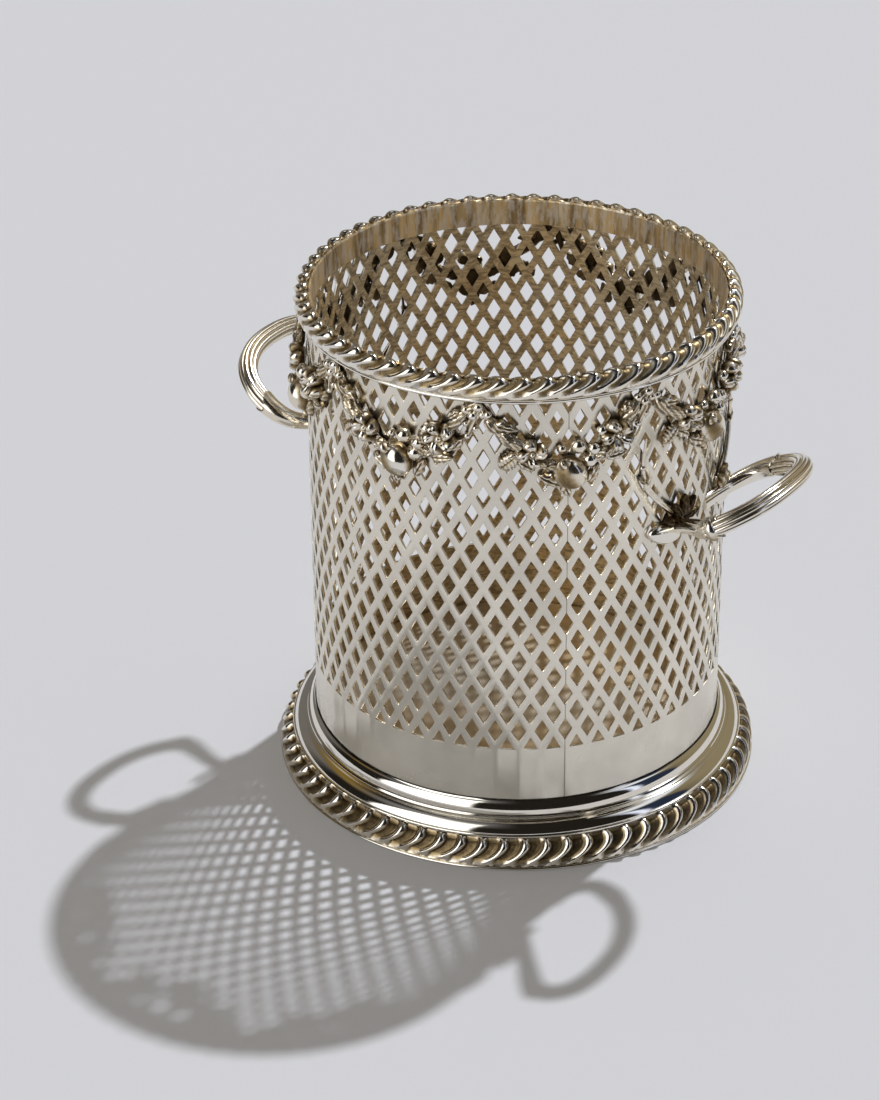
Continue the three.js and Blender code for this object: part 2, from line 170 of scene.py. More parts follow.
def plain_mesh(name, points, faces, hollow_and_shade=None):
    """A mesh of points in millimetres, with how dark each of them is: film by how deep it lies in a hollow,
    and painted shade on backs and undersides.
    """
    mesh = bpy.data.meshes.new(name)
    mesh.from_pydata((np.asarray(points) * MM).tolist(), [], faces)
    if hollow_and_shade is not None:
        mesh.attributes.new("hollow_and_shade", "FLOAT", "POINT").data.foreach_set("value", np.ravel(hollow_and_shade))
    return mesh


def smoothed(mesh, sharp):
    """Shades a mesh smooth, but for the edges that turn by more than sharp degrees."""
    mesh.polygons.foreach_set("use_smooth", [True] * len(mesh.polygons))
    if sharp:
        mesh.set_sharp_from_angle(angle=math.radians(sharp))
    return mesh


PAINTED_BACK_SHADE = 1.6  # past every film's end, so that a back is painted black, as the shade that falls there
BACK_REACH = 0.3  # how far above the level it rests on a back is painted black as shade


class Casting:
    """Closed forms gathered into one mesh, in millimetres, with how dark each point is: film by how deep it
    lies in a hollow, and painted shade on backs and undersides.
    """

    def __init__(self, film=0.0):
        self.points, self.faces, self.hollow_and_shade = [], [], []
        self.film = film

    def add(self, rows, hollow_and_shade=0.0, closed=False):
        """Adds one form from its rows of points, with a point at the middle of each end unless closed."""
        rows = np.asarray(rows, float)
        base = sum(len(p) for p in self.points)
        n, m = rows.shape[:2]
        dark = np.broadcast_to(np.asarray(hollow_and_shade, float), (n, m)).reshape(-1) + self.film
        points = rows.reshape(-1, 3)
        faces = grid_faces(n, m, closed)
        if not closed:
            points = np.vstack([points, rows[0].mean(0), rows[-1].mean(0)])
            dark = np.append(dark, [dark[0], dark[-1]])
            for j in range(m):
                k = (j + 1) % m
                faces.append((n * m, k, j))
                faces.append((n * m + 1, (n - 1) * m + j, (n - 1) * m + k))
        self.points.append(points)
        self.hollow_and_shade.append(dark)
        self.faces += [tuple(base + v for v in f) for f in faces]

    def rest(self, level):
        """Flattens what would reach under a level, and paints it black there, as painted shade on a back.
        """
        low = level + BACK_REACH
        self.hollow_and_shade = [np.where(p[:, 2] < low, PAINTED_BACK_SHADE, h) for p, h in zip(self.points, self.hollow_and_shade)]
        self.points = [np.column_stack([p[:, :2], np.maximum(p[:, 2], level)]) for p in self.points]

    def bend(self, shape):
        """Lays everything gathered so far through a function of its points."""
        self.points = [shape(p) for p in self.points]

    def mesh(self, name, sharp=None):
        """The gathered forms as one mesh with its faces outwards."""
        mesh = plain_mesh(name, np.vstack(self.points), self.faces, np.concatenate(self.hollow_and_shade))
        shell = bmesh.new()
        shell.from_mesh(mesh)
        bmesh.ops.recalc_face_normals(shell, faces=shell.faces)
        shell.to_mesh(mesh)
        shell.free()
        return smoothed(mesh, sharp)


def linked(name, mesh):
    piece = bpy.data.objects.new(name, mesh)
    bpy.context.scene.collection.objects.link(piece)
    return piece


def keep(piece, nodes, metal):
    """Gives a piece its finish, and its place in the frame."""
    piece.data.materials.clear()
    piece.data.materials.append(metal)
    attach(piece, BODY)
    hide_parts(*nodes)


def arc(centre, reach, start, end, steps):
    """Points on an ellipse from one angle to another, in degrees."""
    turn = np.radians(np.linspace(start, end, steps + 1))
    return [(centre[0] + reach[0] * math.cos(a), centre[1] + reach[1] * math.sin(a)) for a in turn]


def turned(name, profile, sides, node, metal):
    """A ring turned from a closed profile of radius and height in millimetres, in place of a node."""
    ring = Casting()
    ring.add(round_axis(full_turn(sides)[:, None], *np.array(profile, float).T), closed=True)
    keep(linked(name, ring.mesh(name, sharp=30)), [node], metal)


# Nodes


class Nodes:
    """A node tree with a few short ways to add to it."""

    def __init__(self, tree):
        self.tree = tree

    def join(self, source, socket):
        """Links a socket to its source, or sets it where the source is a plain value."""
        if isinstance(source, bpy.types.NodeSocket):
            self.tree.links.new(source, socket)
        else:
            socket.default_value = source

    def node(self, kind, inputs=(), **settings):
        made = self.tree.nodes.new(kind)
        for key, setting in settings.items():
            setattr(made, key, setting)
        for key, source in dict(inputs).items():
            self.join(source, made.inputs[key])
        return made

    def math(self, operation, *terms):
        return self.node("ShaderNodeMath", enumerate(terms), operation=operation).outputs[0]

    def vector(self, operation, *terms):
        return self.node("ShaderNodeVectorMath", enumerate(terms), operation=operation).outputs

    def xyz(self, **axes):
        return self.node("ShaderNodeCombineXYZ", axes).outputs[0]

    def axes(self, vector):
        return self.node("ShaderNodeSeparateXYZ", {0: vector}).outputs

    def noise(self, place, scale, detail, **inputs):
        inputs = {"Vector": place, "Scale": scale, "Detail": detail, **inputs}
        return self.node("ShaderNodeTexNoise", inputs).outputs

    def ramp(self, value, low, high, kind="LINEAR"):
        """How far a value has come from low to high, from 0 to 1."""
        ends = {0: value, 1: low, 2: high}
        return self.node("ShaderNodeMapRange", ends, clamp=True, interpolation_type=kind).outputs[0]

    def mix(self, share, first, second):
        return self.node("ShaderNodeMix", {0: share, 6: first, 7: second}, data_type="RGBA").outputs[2]

    def place(self):
        return self.node("ShaderNodeTexCoord").outputs["Object"]


class Group(Nodes):
    """A node group, with the labels of its inputs and outputs under their types."""

    def __init__(self, name, kind, inputs, outputs):
        super().__init__(bpy.data.node_groups.new(name, kind))
        for side, sockets in (("INPUT", inputs), ("OUTPUT", outputs)):
            for socket, labels in sockets.items():
                for label in labels.split(", "):
                    self.tree.interface.new_socket(
                        name=label, in_out=side, socket_type="NodeSocket" + socket
                    )
        self.entry = self.node("NodeGroupInput").outputs
        self.exit = self.node("NodeGroupOutput").inputs

    def end(self, **outputs):
        for label, source in outputs.items():
            self.join(source, self.exit[label])
        return self.tree

    def copies(self, label, count, place=(0, 0, 0), turn=(0, 0, 0)):
        """Copies of an object that the group is given."""
        points = self.node("GeometryNodePoints", {"Count": count, "Position": place}).outputs[0]
        copy = self.node("GeometryNodeObjectInfo", {"Object": self.entry[label], "As Instance": True})
        inputs = {"Points": points, "Instance": copy.outputs["Geometry"], "Rotation": turn}
        return self.node("GeometryNodeInstanceOnPoints", inputs).outputs[0]

    def realized(self, copies):
        return self.node("GeometryNodeRealizeInstances", {"Geometry": copies}).outputs[0]

    def welded(self, geometry):
        inputs = {"Geometry": geometry, "Distance": self.entry["Weld"]}
        return self.node("GeometryNodeMergeByDistance", inputs).outputs[0]

    def moved(self, geometry, **inputs):
        return self.node("GeometryNodeSetPosition", {"Geometry": geometry, **inputs}).outputs[0]

    def coated(self, geometry):
        """Ends a tree in its finish."""
        inputs = {"Geometry": geometry, "Material": self.entry["Finish"]}
        return self.end(Geometry=self.node("GeometryNodeSetMaterial", inputs).outputs[0])


MADE = {}


def shared(make, *given):
    """The group or the finish that a function makes, made when it is first asked for."""
    if make not in MADE:
        MADE[make] = make(*given)
    return MADE[make]


# Geometry Nodes


def ring_tree():
    """Copies of one object in a ring about the upright axis, welded where they meet."""
    inputs = {
        "Geometry": "Geometry",
        "Object": "Copy",
        "Int": "Count",
        "Float": "First angle, Weld",
        "Material": "Finish",
    }
    tree = Group("Ring of copies", "GeometryNodeTree", inputs, {"Geometry": "Geometry"})
    count = tree.entry["Count"]
    index = tree.node("GeometryNodeInputIndex").outputs[0]
    step = tree.math("DIVIDE", 2 * math.pi, count)
    angle = tree.math("MULTIPLY_ADD", index, step, tree.entry["First angle"])
    ring = tree.copies("Copy", count, turn=tree.xyz(Z=angle))
    return tree.coated(tree.welded(tree.realized(ring)))


UNEVEN = 0.00035  # how far the drum's holes wander, in metres
UNEVEN_SCALE = 190.0


def lattice_tree():
    """Cells of a pierced sheet in staggered rows, welded and rolled into a drum."""
    inputs = {
        "Geometry": "Geometry",
        "Object": "Cell, Lower edge, Upper edge",
        "Int": "Columns, Rows",
        "Float": "Radius, First row, Row step, Seam, Weld, Unevenness",
        "Material": "Finish",
    }
    tree = Group("Pierced drum", "GeometryNodeTree", inputs, {"Geometry": "Geometry"})
    columns, rows, radius = [tree.entry[label] for label in ("Columns", "Rows", "Radius")]
    index = tree.node("GeometryNodeInputIndex").outputs[0]
    pitch = tree.math("DIVIDE", tree.math("MULTIPLY", radius, 2 * math.pi), columns)

    def row_of(label, count, row):
        column = tree.math("MODULO", index, columns)
        shift = tree.math("MULTIPLY", tree.math("FLOORED_MODULO", row, 2.0), 0.5)
        along = tree.math("MULTIPLY", tree.math("ADD", column, shift), pitch)
        up = tree.math("MULTIPLY_ADD", row, tree.entry["Row step"], tree.entry["First row"])
        return tree.copies(label, count, place=tree.xyz(X=along, Z=up))

    whole_row = tree.math("FLOOR", tree.math("DIVIDE", tree.math("ADD", index, 0.5), columns))
    parts = tree.node("GeometryNodeJoinGeometry")
    for made in (
        row_of("Cell", tree.math("MULTIPLY", columns, rows), whole_row),
        row_of("Lower edge", columns, -1.0),
        row_of("Upper edge", columns, rows),
    ):
        tree.join(made, parts.inputs[0])
    position = tree.node("GeometryNodeInputPosition").outputs[0]
    along, out, up = tree.axes(position)
    angle = tree.math("ADD", tree.math("DIVIDE", along, radius), tree.entry["Seam"])
    reach = tree.math("ADD", radius, out)
    rolled = tree.xyz(
        X=tree.math("MULTIPLY", reach, tree.math("SINE", angle)),
        Y=tree.math("MULTIPLY", tree.math("MULTIPLY", reach, -1.0), tree.math("COSINE", angle)),
        Z=up,
    )
    drum = tree.welded(tree.moved(tree.realized(parts.outputs[0]), Position=rolled))
    noise = tree.vector("SUBTRACT", tree.noise(position, UNEVEN_SCALE, 1.0)["Color"], (0.5, 0.5, 0.5))[0]
    jog = {0: noise, "Scale": tree.entry["Unevenness"]}
    jogged = tree.node("ShaderNodeVectorMath", jog, operation="SCALE").outputs[0]
    return tree.coated(tree.moved(drum, Offset=jogged))


def grown(name, group, sharp, **inputs):
    """The plain mesh that a tree makes, as a new object."""
    holder = linked(name + "_tree", bpy.data.meshes.new(name + "_tree"))
    modifier = holder.modifiers.new("tree", "NODES")
    modifier.node_group = group
    sockets = {s.name: s.identifier for s in group.interface.items_tree if s.in_out == "INPUT"}
    for label, setting in inputs.items():
        modifier[sockets[label.replace("_", " ")]] = setting
    bpy.context.view_layer.update()
    graph = bpy.context.evaluated_depsgraph_get()
    mesh = bpy.data.meshes.new_from_object(holder.evaluated_get(graph), depsgraph=graph)
    mesh.name = name
    holder.modifiers.remove(modifier)
    bpy.data.objects.remove(holder)
    return linked(name, smoothed(mesh, sharp))


WELD = 0.00004  # joins the edges that tiles share


def ring_of(context, name, tile, count, nodes, sharp, first=0.0, weld=0.0):
    """A cast piece of like tiles in a ring, in place of nodes. first is the angle of the first tile."""
    metal = shared(cast_finish, context.scene)
    settings = {"Copy": tile, "Count": count, "First_angle": first, "Weld": weld, "Finish": metal}
    piece = grown(name, shared(ring_tree), sharp, **settings)
    bpy.data.objects.remove(tile)
    keep(piece, nodes, metal)


# Finishes

NOISE_MIDDLE = 0.51


def tarnish_group():
    """Colour that shifts from clean metal to a film, in patches."""
    inputs = {"Color": "Clean, Film", "Float": "Amount, Scale, Spread, Twist", "Vector": "Stretch"}
    tree = Group("Tarnish", "ShaderNodeTree", inputs, {"Color": "Color", "Float": "Mask"})
    drawn = tree.vector("MULTIPLY", tree.place(), tree.entry["Stretch"])[0]
    noise = tree.noise(drawn, tree.entry["Scale"], 6.0, Roughness=0.62, Distortion=tree.entry["Twist"])[0]
    low, high = [tree.math(side, NOISE_MIDDLE, tree.entry["Spread"]) for side in ("SUBTRACT", "ADD")]
    mask = tree.math("MULTIPLY", tree.ramp(noise, low, high), tree.entry["Amount"])
    return tree.end(Color=tree.mix(mask, tree.entry["Clean"], tree.entry["Film"]), Mask=mask)


BARE_ROUGH = 0.14
FILM_ROUGH = 0.28  # how much rougher the film is


def hollow_and_shade_group():
    """Dark film in the hollows of a casting, and painted shade on its backs and undersides, from the value
    stored on its points.
    """
    inputs = {"Color": "Color, Film", "Float": "Start, End"}
    tree = Group("Hollows", "ShaderNodeTree", inputs, {"Color": "Color", "Float": "Roughness"})
    depth = tree.node("ShaderNodeAttribute", attribute_name="hollow_and_shade").outputs["Fac"]
    grain = tree.math("MULTIPLY_ADD", tree.noise(tree.place(), 900.0, 3.0)[0], 0.3, -0.15)
    uneven = tree.math("ADD", depth, grain)
    mask = tree.ramp(uneven, tree.entry["Start"], tree.entry["End"], "SMOOTHSTEP")
    mixed = tree.mix(mask, tree.entry["Color"], tree.entry["Film"])
    return tree.end(Color=mixed, Roughness=tree.math("MULTIPLY_ADD", mask, FILM_ROUGH, BARE_ROUGH))


def marks_group():
    """Height and roughness of fine polishing marks and broad dents."""
    inputs = {"Float": "Scale", "Vector": "Stretch"}
    tree = Group("Polishing marks", "ShaderNodeTree", inputs, {"Float": "Height, Roughness"})
    place = tree.place()
    drawn = tree.vector("MULTIPLY", place, tree.entry["Stretch"])[0]
    fine = tree.noise(drawn, tree.entry["Scale"], 5.0)[0]
    broad = tree.noise(place, 60.0, 2.0)[0]
    height = tree.math("MULTIPLY_ADD", broad, 0.6, fine)
    return tree.end(Height=height, Roughness=tree.math("MULTIPLY_ADD", broad, 0.16, -0.08))


class Finish(Nodes):
    """A metal with its Principled shader, ready for groups to feed it."""

    def __init__(self, name, roughness):
        self.material = bpy.data.materials.new(name)
        self.material.use_nodes = True
        super().__init__(self.material.node_tree)
        self.shader = self.tree.nodes["Principled BSDF"].inputs
        self.shader["Metallic"].default_value = 1.0
        self.shader["Roughness"].default_value = roughness

    def group(self, make, **inputs):
        return self.node("ShaderNodeGroup", inputs, node_tree=shared(make)).outputs

    def marks(self, scale, stretch=(1.0, 1.0, 1.0)):
        return self.group(marks_group, Scale=scale, Stretch=stretch)

    def stained(self, clean, film, **settings):
        """The shared tarnish, with the settings that most metals here use."""
        usual = {"Amount": 0.6, "Scale": 60.0, "Stretch": (1.0, 1.0, 1.0), "Spread": 0.15, "Twist": 0.0}
        return self.group(tarnish_group, Clean=clean, Film=film, **{**usual, **settings})

    def done(self, height, distance, strength, **sources):
        """Feeds the shader a bump, and its colour and the like."""
        bump = {"Height": height, "Distance": distance, "Strength": strength}
        sources["Normal"] = self.node("ShaderNodeBump", bump).outputs[0]
        for key, source in sources.items():
            self.join(source, self.shader[key.replace("_", " ")])
        return self.material


def rgba(colour, share=1.0):
    return (*[c * share for c in colour], 1.0)


INSIDE_ROUGH, OUTSIDE_ROUGH = 0.4, 0.26
INSIDE_METAL = 0.65  # film on the inside is less metallic
PITS = -3.0  # how deep the streaks inside are etched
OUTSIDE = (0.00015, 0.0004)  # where the outer finish sets in, from the wall's inside
SEAM_HALF = 0.00013  # half the width of the seam's dark line
SEAM_DARK = 0.65


def satin_finish(scene):
    """Outside of the drum clean and satin, its inside brown and streaked, with the seam of the sheet."""
    colours, drum = scene.holder_colours, scene.holder_drum
    made = Finish("satin_silver", 0.42)
    clean = made.stained(rgba(colours.satin), rgba(colours.satin, 0.66), Amount=0.7, Scale=26.0)
    patches = made.stained(rgba(colours.aged), rgba(colours.golden), Amount=0.8, Scale=38.0, Spread=0.1)
    streaked = {"Amount": 0.7, "Scale": 210.0, "Stretch": (1.0, 1.0, 2.6), "Spread": 0.09, "Twist": 1.6}
    streaks = made.stained(patches["Color"], rgba(colours.hollow_and_shade, 1.5), **streaked)
    x, y, _ = made.axes(made.place())
    reach = made.vector("LENGTH", made.xyz(X=x, Y=y))["Value"]
    inner = drum.radius - drum.sheet
    outside = made.ramp(reach, inner + OUTSIDE[0], inner + OUTSIDE[1])
    turns = (made.math("MULTIPLY", x, math.cos(drum.seam)), made.math("MULTIPLY", y, math.sin(drum.seam)))
    across = made.math("ABSOLUTE", made.math("ADD", *turns))
    front = made.math("LESS_THAN", y, 0.0)
    seam = made.math("MULTIPLY", made.math("LESS_THAN", across, SEAM_HALF), front)
    metal = made.mix(outside, streaks["Color"], clean["Color"])
    joined = made.mix(made.math("MULTIPLY", seam, SEAM_DARK), metal, rgba(colours.hollow_and_shade))
    marks = made.marks(700.0, (1.0, 1.0, 0.35))
    gloss = made.math("MULTIPLY_ADD", outside, OUTSIDE_ROUGH - INSIDE_ROUGH, INSIDE_ROUGH)
    rough = made.math("ADD", gloss, marks["Roughness"])
    inside = made.math("SUBTRACT", 1.0, outside)
    dents = made.math("MULTIPLY", made.math("MULTIPLY", streaks["Mask"], inside), PITS)
    return made.done(
        made.math("ADD", marks["Height"], dents),
        distance=0.00005,
        strength=0.6,
        Base_Color=joined,
        Roughness=rough,
        Metallic=made.math("MULTIPLY_ADD", outside, 1 - INSIDE_METAL, INSIDE_METAL),
    )


def aged_finish(scene):
    """Brown silver with upright chatter marks, some of them bright."""
    colours = scene.holder_colours
    made = Finish("aged_silver", 0.36)
    upright = {"Amount": 0.85, "Scale": 260.0, "Stretch": (1.0, 1.0, 0.1), "Spread": 0.1}
    brown = made.stained(rgba(colours.golden, 1.1), rgba(colours.hollow_and_shade, 1.8), **upright)
    chatter = {"Amount": 0.55, "Scale": 620.0, "Stretch": (1.0, 1.0, 0.28), "Spread": 0.06}
    bright = made.stained(brown["Color"], rgba(colours.bright), **chatter)
    look = {"Base_Color": bright["Color"], "Metallic": made.math("MULTIPLY_ADD", bright["Mask"], 0.3, 0.65)}
    return made.done(bright["Mask"], distance=0.0002, strength=0.7, **look)


def floor_finish(scene):
    """Holder's floor: dull silver, taupe and peach in patches."""
    colours = scene.holder_colours
    made = Finish("aged_silver_floor", 0.34)
    taupe = made.stained(
        rgba(colours.satin, 0.9), rgba(colours.golden), Amount=0.7, Scale=26.0, Spread=0.1
    )
    spots = made.stained(taupe["Color"], rgba(colours.hollow_and_shade, 3.0), Amount=0.5, Scale=120.0)
    look = {"Base_Color": spots["Color"], "Metallic": made.math("MULTIPLY_ADD", spots["Mask"], -0.3, 0.75)}
    return made.done(made.marks(400.0)["Height"], distance=0.00006, strength=0.6, **look)


def polished_finish(scene):
    """Mirror-polished silver with a trace of warm film."""
    colours = scene.holder_colours
    made = Finish("polished_silver", 0.06)
    film = made.stained(rgba(colours.bright), rgba(colours.golden), Amount=0.16, Scale=17.0)
    marks = made.marks(500.0)
    rough = made.math("MULTIPLY_ADD", marks["Roughness"], 0.4, 0.065)
    look = {"Base_Color": film["Color"], "Roughness": rough}
    return made.done(marks["Height"], distance=0.000008, strength=0.5, **look)


def cast_finish(scene):
    """Bright cast silver, brown in its hollows, and painted black as shade on its backs."""
    colours = scene.holder_colours
    made = Finish("cast_silver", 0.2)
    clean = made.stained(rgba(colours.bright), rgba(colours.golden), Amount=0.35)["Color"]
    golden, black = rgba(colours.golden, 0.5), rgba(colours.hollow_and_shade, 0.5)
    brown = made.group(hollow_and_shade_group, Color=clean, Film=golden, Start=0.3, End=0.9)
    # Black film in the deepest grooves, and painted shade on backs and undersides
    dark = made.group(hollow_and_shade_group, Color=brown["Color"], Film=black, Start=0.75, End=1.3)
    marks = made.marks(900.0)
    rough = made.math("ADD", brown["Roughness"], marks["Roughness"])
    look = {"Base_Color": dark["Color"], "Roughness": rough}
    return made.done(marks["Height"], distance=0.00005, strength=0.6, **look)


# Drum

CELL_EDGE = 0.16  # width of the rounded edge of a hole
EDGE_BEND = CELL_EDGE * 0.3  # where that edge bends
BACK_EDGE = CELL_EDGE * 0.6  # width of the edge inside the drum
CORNER_SHARE = 0.045  # how much of each side a hole's blunt corner takes
CUT_PAST = 0.37  # the first and last diamonds are cut this far past their middle
SIDE_PAST = CUT_PAST * 2.5  # and their cells this far


def blunt(corners):
    """Each corner of an outline as two points, one on each side of it."""
    out = []
    for i, corner in enumerate(corners):
        before, after = corners[i - 1], corners[(i + 1) % len(corners)]
        out += [corner + (before - corner) * CORNER_SHARE, corner + (after - corner) * CORNER_SHARE]
    return out


def grown_outline(points, by):
    """An outline pushed outwards by a distance."""
    out = []
    for i, p in enumerate(points):
        a, b = p - points[i - 1], points[(i + 1) % len(points)] - p
        sides = [np.array([d[1], -d[0]]) / np.linalg.norm(d) for d in (a, b)]
        normal = sides[0] + sides[1]
        normal /= np.dot(normal, sides[0])
        out.append(p + normal * by)
    return out


def pierced_tile(name, edge, anchors, hole, sheet, closed_sides=()):
    """A piece of sheet with one hole. edge is its outline, anchors says which points of it each side of
    the hole faces, and closed_sides are the sides of the outline that end in the sheet's own edge."""
    points, faces = [], []

    def ring(outline, depth):
        base = len(points)
        points.extend((p[0], -depth, p[1]) for p in outline)
        return [base + i for i in range(len(outline))]

    corners = blunt(np.array(hole, float))
    front_edge, back_edge = ring(edge, 0), ring(edge, sheet)
    loops = [
        ring(grown_outline(corners, CELL_EDGE), 0),
        ring(grown_outline(corners, EDGE_BEND), EDGE_BEND),
        ring(corners, CELL_EDGE),
        ring(corners, sheet - BACK_EDGE),
        ring(grown_outline(corners, BACK_EDGE), sheet),
    ]
    count = len(corners)
    for near, far in zip(loops, loops[1:]):
        for i in range(count):
            j = (i + 1) % count
            faces.append((near[i], near[j], far[j], far[i]))
    for outline, loop, flip in ((front_edge, loops[0], False), (back_edge, loops[-1], True)):
        for side, run in enumerate(anchors):
            a, b = loop[2 * side + 1], loop[(2 * side + 2) % count]
            middle = len(run) // 2
            fan = [(outline[run[0]], a, loop[2 * side])]
            fan += [(outline[run[k]], outline[run[k + 1]], a) for k in range(middle)]
            fan.append((outline[run[middle]], b, a))
            fan += [(outline[run[k]], outline[run[k + 1]], b) for k in range(middle, len(run) - 1)]
            faces += [tuple(reversed(f)) if flip else f for f in fan]
    for i, j in closed_sides:
        faces.append((front_edge[i], back_edge[i], back_edge[j], front_edge[j]))
    return linked(name, plain_mesh(name, points, faces))


class HOLDER_OT_drum(bpy.types.Operator):
    """Makes the pierced drum from one diamond cell and its two edge cells"""

    bl_idname = "holder.drum"
    bl_label = "Pierced drum"

    def execute(self, context):
        drum = context.scene.holder_drum
        sheet = drum.sheet / MM
        half = math.pi * (drum.radius / MM) / drum.columns
        rise = drum.half_row / MM
        wide, tall = half * drum.hole_share, rise * drum.hole_share
        top = [(half, 0), (half / 2, rise / 2), (0, rise), (-half / 2, rise / 2), (-half, 0)]
        bottom = [(-half / 2, -rise / 2), (0, -rise), (half / 2, -rise / 2)]
        anchors = [(0, 1, 2), (2, 3, 4), (4, 5, 6), (6, 7, 0)]
        hole = [(wide, 0), (0, tall), (-wide, 0), (0, -tall)]
        tiles = [pierced_tile("cell", top + bottom, anchors, hole, sheet)]
        low = (drum.first_row - drum.half_row - DRUM_LOW) / MM
        high = (DRUM_HIGH - drum.first_row - drum.half_row * drum.rows) / MM
        anchors = [(0, 1, 2, 3), (3, 4, 5, 6), (6, 7, 8, 9, 0)]
        for name, way, plain in (("lower", 1, low), ("upper", -1, high)):
            outline = [(half, -SIDE_PAST), *top, (-half, -SIDE_PAST)]
            outline += [(-half, -plain), (0, -plain), (half, -plain)]
            hole = [(wide, -CUT_PAST), (0, tall), (-wide, -CUT_PAST)]
            outline, hole = [[(x * way, y * way) for x, y in ring] for ring in (outline, hole)]
            tiles.append(pierced_tile(name, outline, anchors, hole, sheet, [(7, 8), (8, 9)]))
        satin = shared(satin_finish, context.scene)
        piece = grown(
            "pierced_drum",
            lattice_tree(),
            sharp=30,
            Cell=tiles[0],
            Lower_edge=tiles[1],
            Upper_edge=tiles[2],
            Columns=drum.columns,
            Rows=drum.rows,
            Radius=drum.radius,
            First_row=drum.first_row,
            Row_step=drum.half_row,
            Seam=drum.seam,
            Weld=WELD,
            Unevenness=UNEVEN,
            Finish=satin,
        )
        for tile in tiles:
            bpy.data.objects.remove(tile)
        keep(piece, ["drum"], satin)
        return {"FINISHED"}


# Gadroon borders

COMMA_END = 0.985  # where in a pitch the round body ends, before the groove
COMMA_WIDEST = 0.49  # half the body's width at the crest, as a share of the pitch
COMMA_FULL = 0.7  # under 1 the body is fuller
FLUTES = 3
FLUTE_HIGH = 0.5  # the flutes' height where they meet the body
FLUTE_DEEP = 0.25
LEAN_BOW = 0.1  # how far a lobe bows against its lean half way down
VALLEY_DARK = 0.2  # how hollow a valley is where it fades out
BORDER_BACK_DARK = 0.4
LOBE_STEPS = 36
RIM_SIDES = 256
FOOT_SIDES = 320
FLOOR_SIDES = 192
FOOT_DEPTH = 1.15  # how much deeper the foot's grooves are than the rim's


def comma(phase, knob, body):
    """A comma's height over one pitch: fine flutes that rise to a round body, and its quick fall."""
    half = body + (COMMA_WIDEST - body) * knob
    across = np.clip(np.abs(phase - COMMA_END + half) / half, 0, 1)
    round_body = np.cos(across * math.pi / 2) ** COMMA_FULL
    ripple = np.abs(np.sin(FLUTES * math.pi * phase / (1 - body)))
    flutes = FLUTE_HIGH * phase * (1 - FLUTE_DEEP + FLUTE_DEEP * ripple) * (1 - knob)
    return np.maximum(round_body, np.where(phase < COMMA_END - half, flutes, 0))


def gadroon_tile(name, outer, back, lobes, depth, lean, body, fade_out, knob, film=0.0):
    """One pitch of a border. outer runs over the lobes from the top, as radius and height, and back
    closes the section behind it. lean is how far a lobe leans by the foot of outer and how late, body the
    share of the pitch that half its round body takes, fade_out how much of outer its ends fade over, and
    knob how far down from the crest it is wider."""
    outer = np.array(outer, float)
    way = np.gradient(outer, axis=0)
    normal = np.stack([-way[:, 1], way[:, 0]], -1)
    normal /= np.linalg.norm(normal, axis=1)[:, None]
    t = np.linspace(0, 1, len(outer))
    shift = LEAN_BOW * np.sin(math.pi * t) - lean[0] * t ** lean[1]
    fade = np.clip(t / fade_out[0], 0, 1) * np.clip((1 - t) / fade_out[1], 0, 1)
    rows, hollow_and_shade = [], []
    for k in range(LOBE_STEPS + 1):
        relief = comma((k / LOBE_STEPS - shift) % 1.0, np.clip(1 - t / knob, 0, 1), body)
        sink = (1 - relief) * depth * fade
        section = np.vstack([outer - normal * sink[:, None], back])
        angle = 2 * math.pi * (k / LOBE_STEPS) / lobes
        rows.append(round_axis(angle, section[:, 0], section[:, 1]))
        dark = (1 - relief) * np.clip(fade + VALLEY_DARK, 0, 1) + film
        hollow_and_shade.append(np.concatenate([dark, np.full(len(back), BORDER_BACK_DARK)]))
    faces = [tuple(reversed(f)) for f in grid_faces(len(rows), len(rows[0]), False)]
    return linked(name, plain_mesh(name, np.concatenate(rows), faces, hollow_and_shade))


class HOLDER_OT_rim(bpy.types.Operator):
    """Makes the gadroon rim, the bright flange under it and the collar inside"""

    bl_idname = "holder.rim"
    bl_label = "Rim"

    def execute(self, context):
        sizes = context.scene.holder_borders
        outer = [(61.0, 154.3), (61.0, 155.3)]
        outer += arc((62.3, 153.2), (3.1, 3.5), 112, 0, 24)
        outer += [(65.35, 152.3), (65.1, 151.5), (64.7, 150.9)]
        back = [(64.3, 150.5), (61.0, 150.5)]
        lobes, depth = sizes.rim_lobes, sizes.depth / MM
        form = {"lean": (0.9, 4), "body": 0.36, "fade_out": (0.02, 0.08), "knob": 0.3}
        tile = gadroon_tile("rim_tile", outer, back, lobes, depth, **form)
        ring_of(context, "gadroon_rim", tile, lobes, ["rim_gadroon"], sharp=60, weld=WELD)
        flange = [(62.5, 148.95), (63.3, 148.95)]
        flange += arc((63.3, 149.55), (0.6, 0.6), -90, 90, 6)
        flange += [(62.5, 150.15)]
        polished = shared(polished_finish, context.scene)
        turned("rim_flange_bright", flange, RIM_SIDES, "rim_flange", polished)
        collar = [(60.1, 147.6), (60.75, 147.6), (60.95, 155.1), (60.6, 155.6), (60.2, 155.1)]
        aged = shared(aged_finish, context.scene)
        turned("inner_collar", collar, RIM_SIDES, "rim_collar", aged)
        return {"FINISHED"}


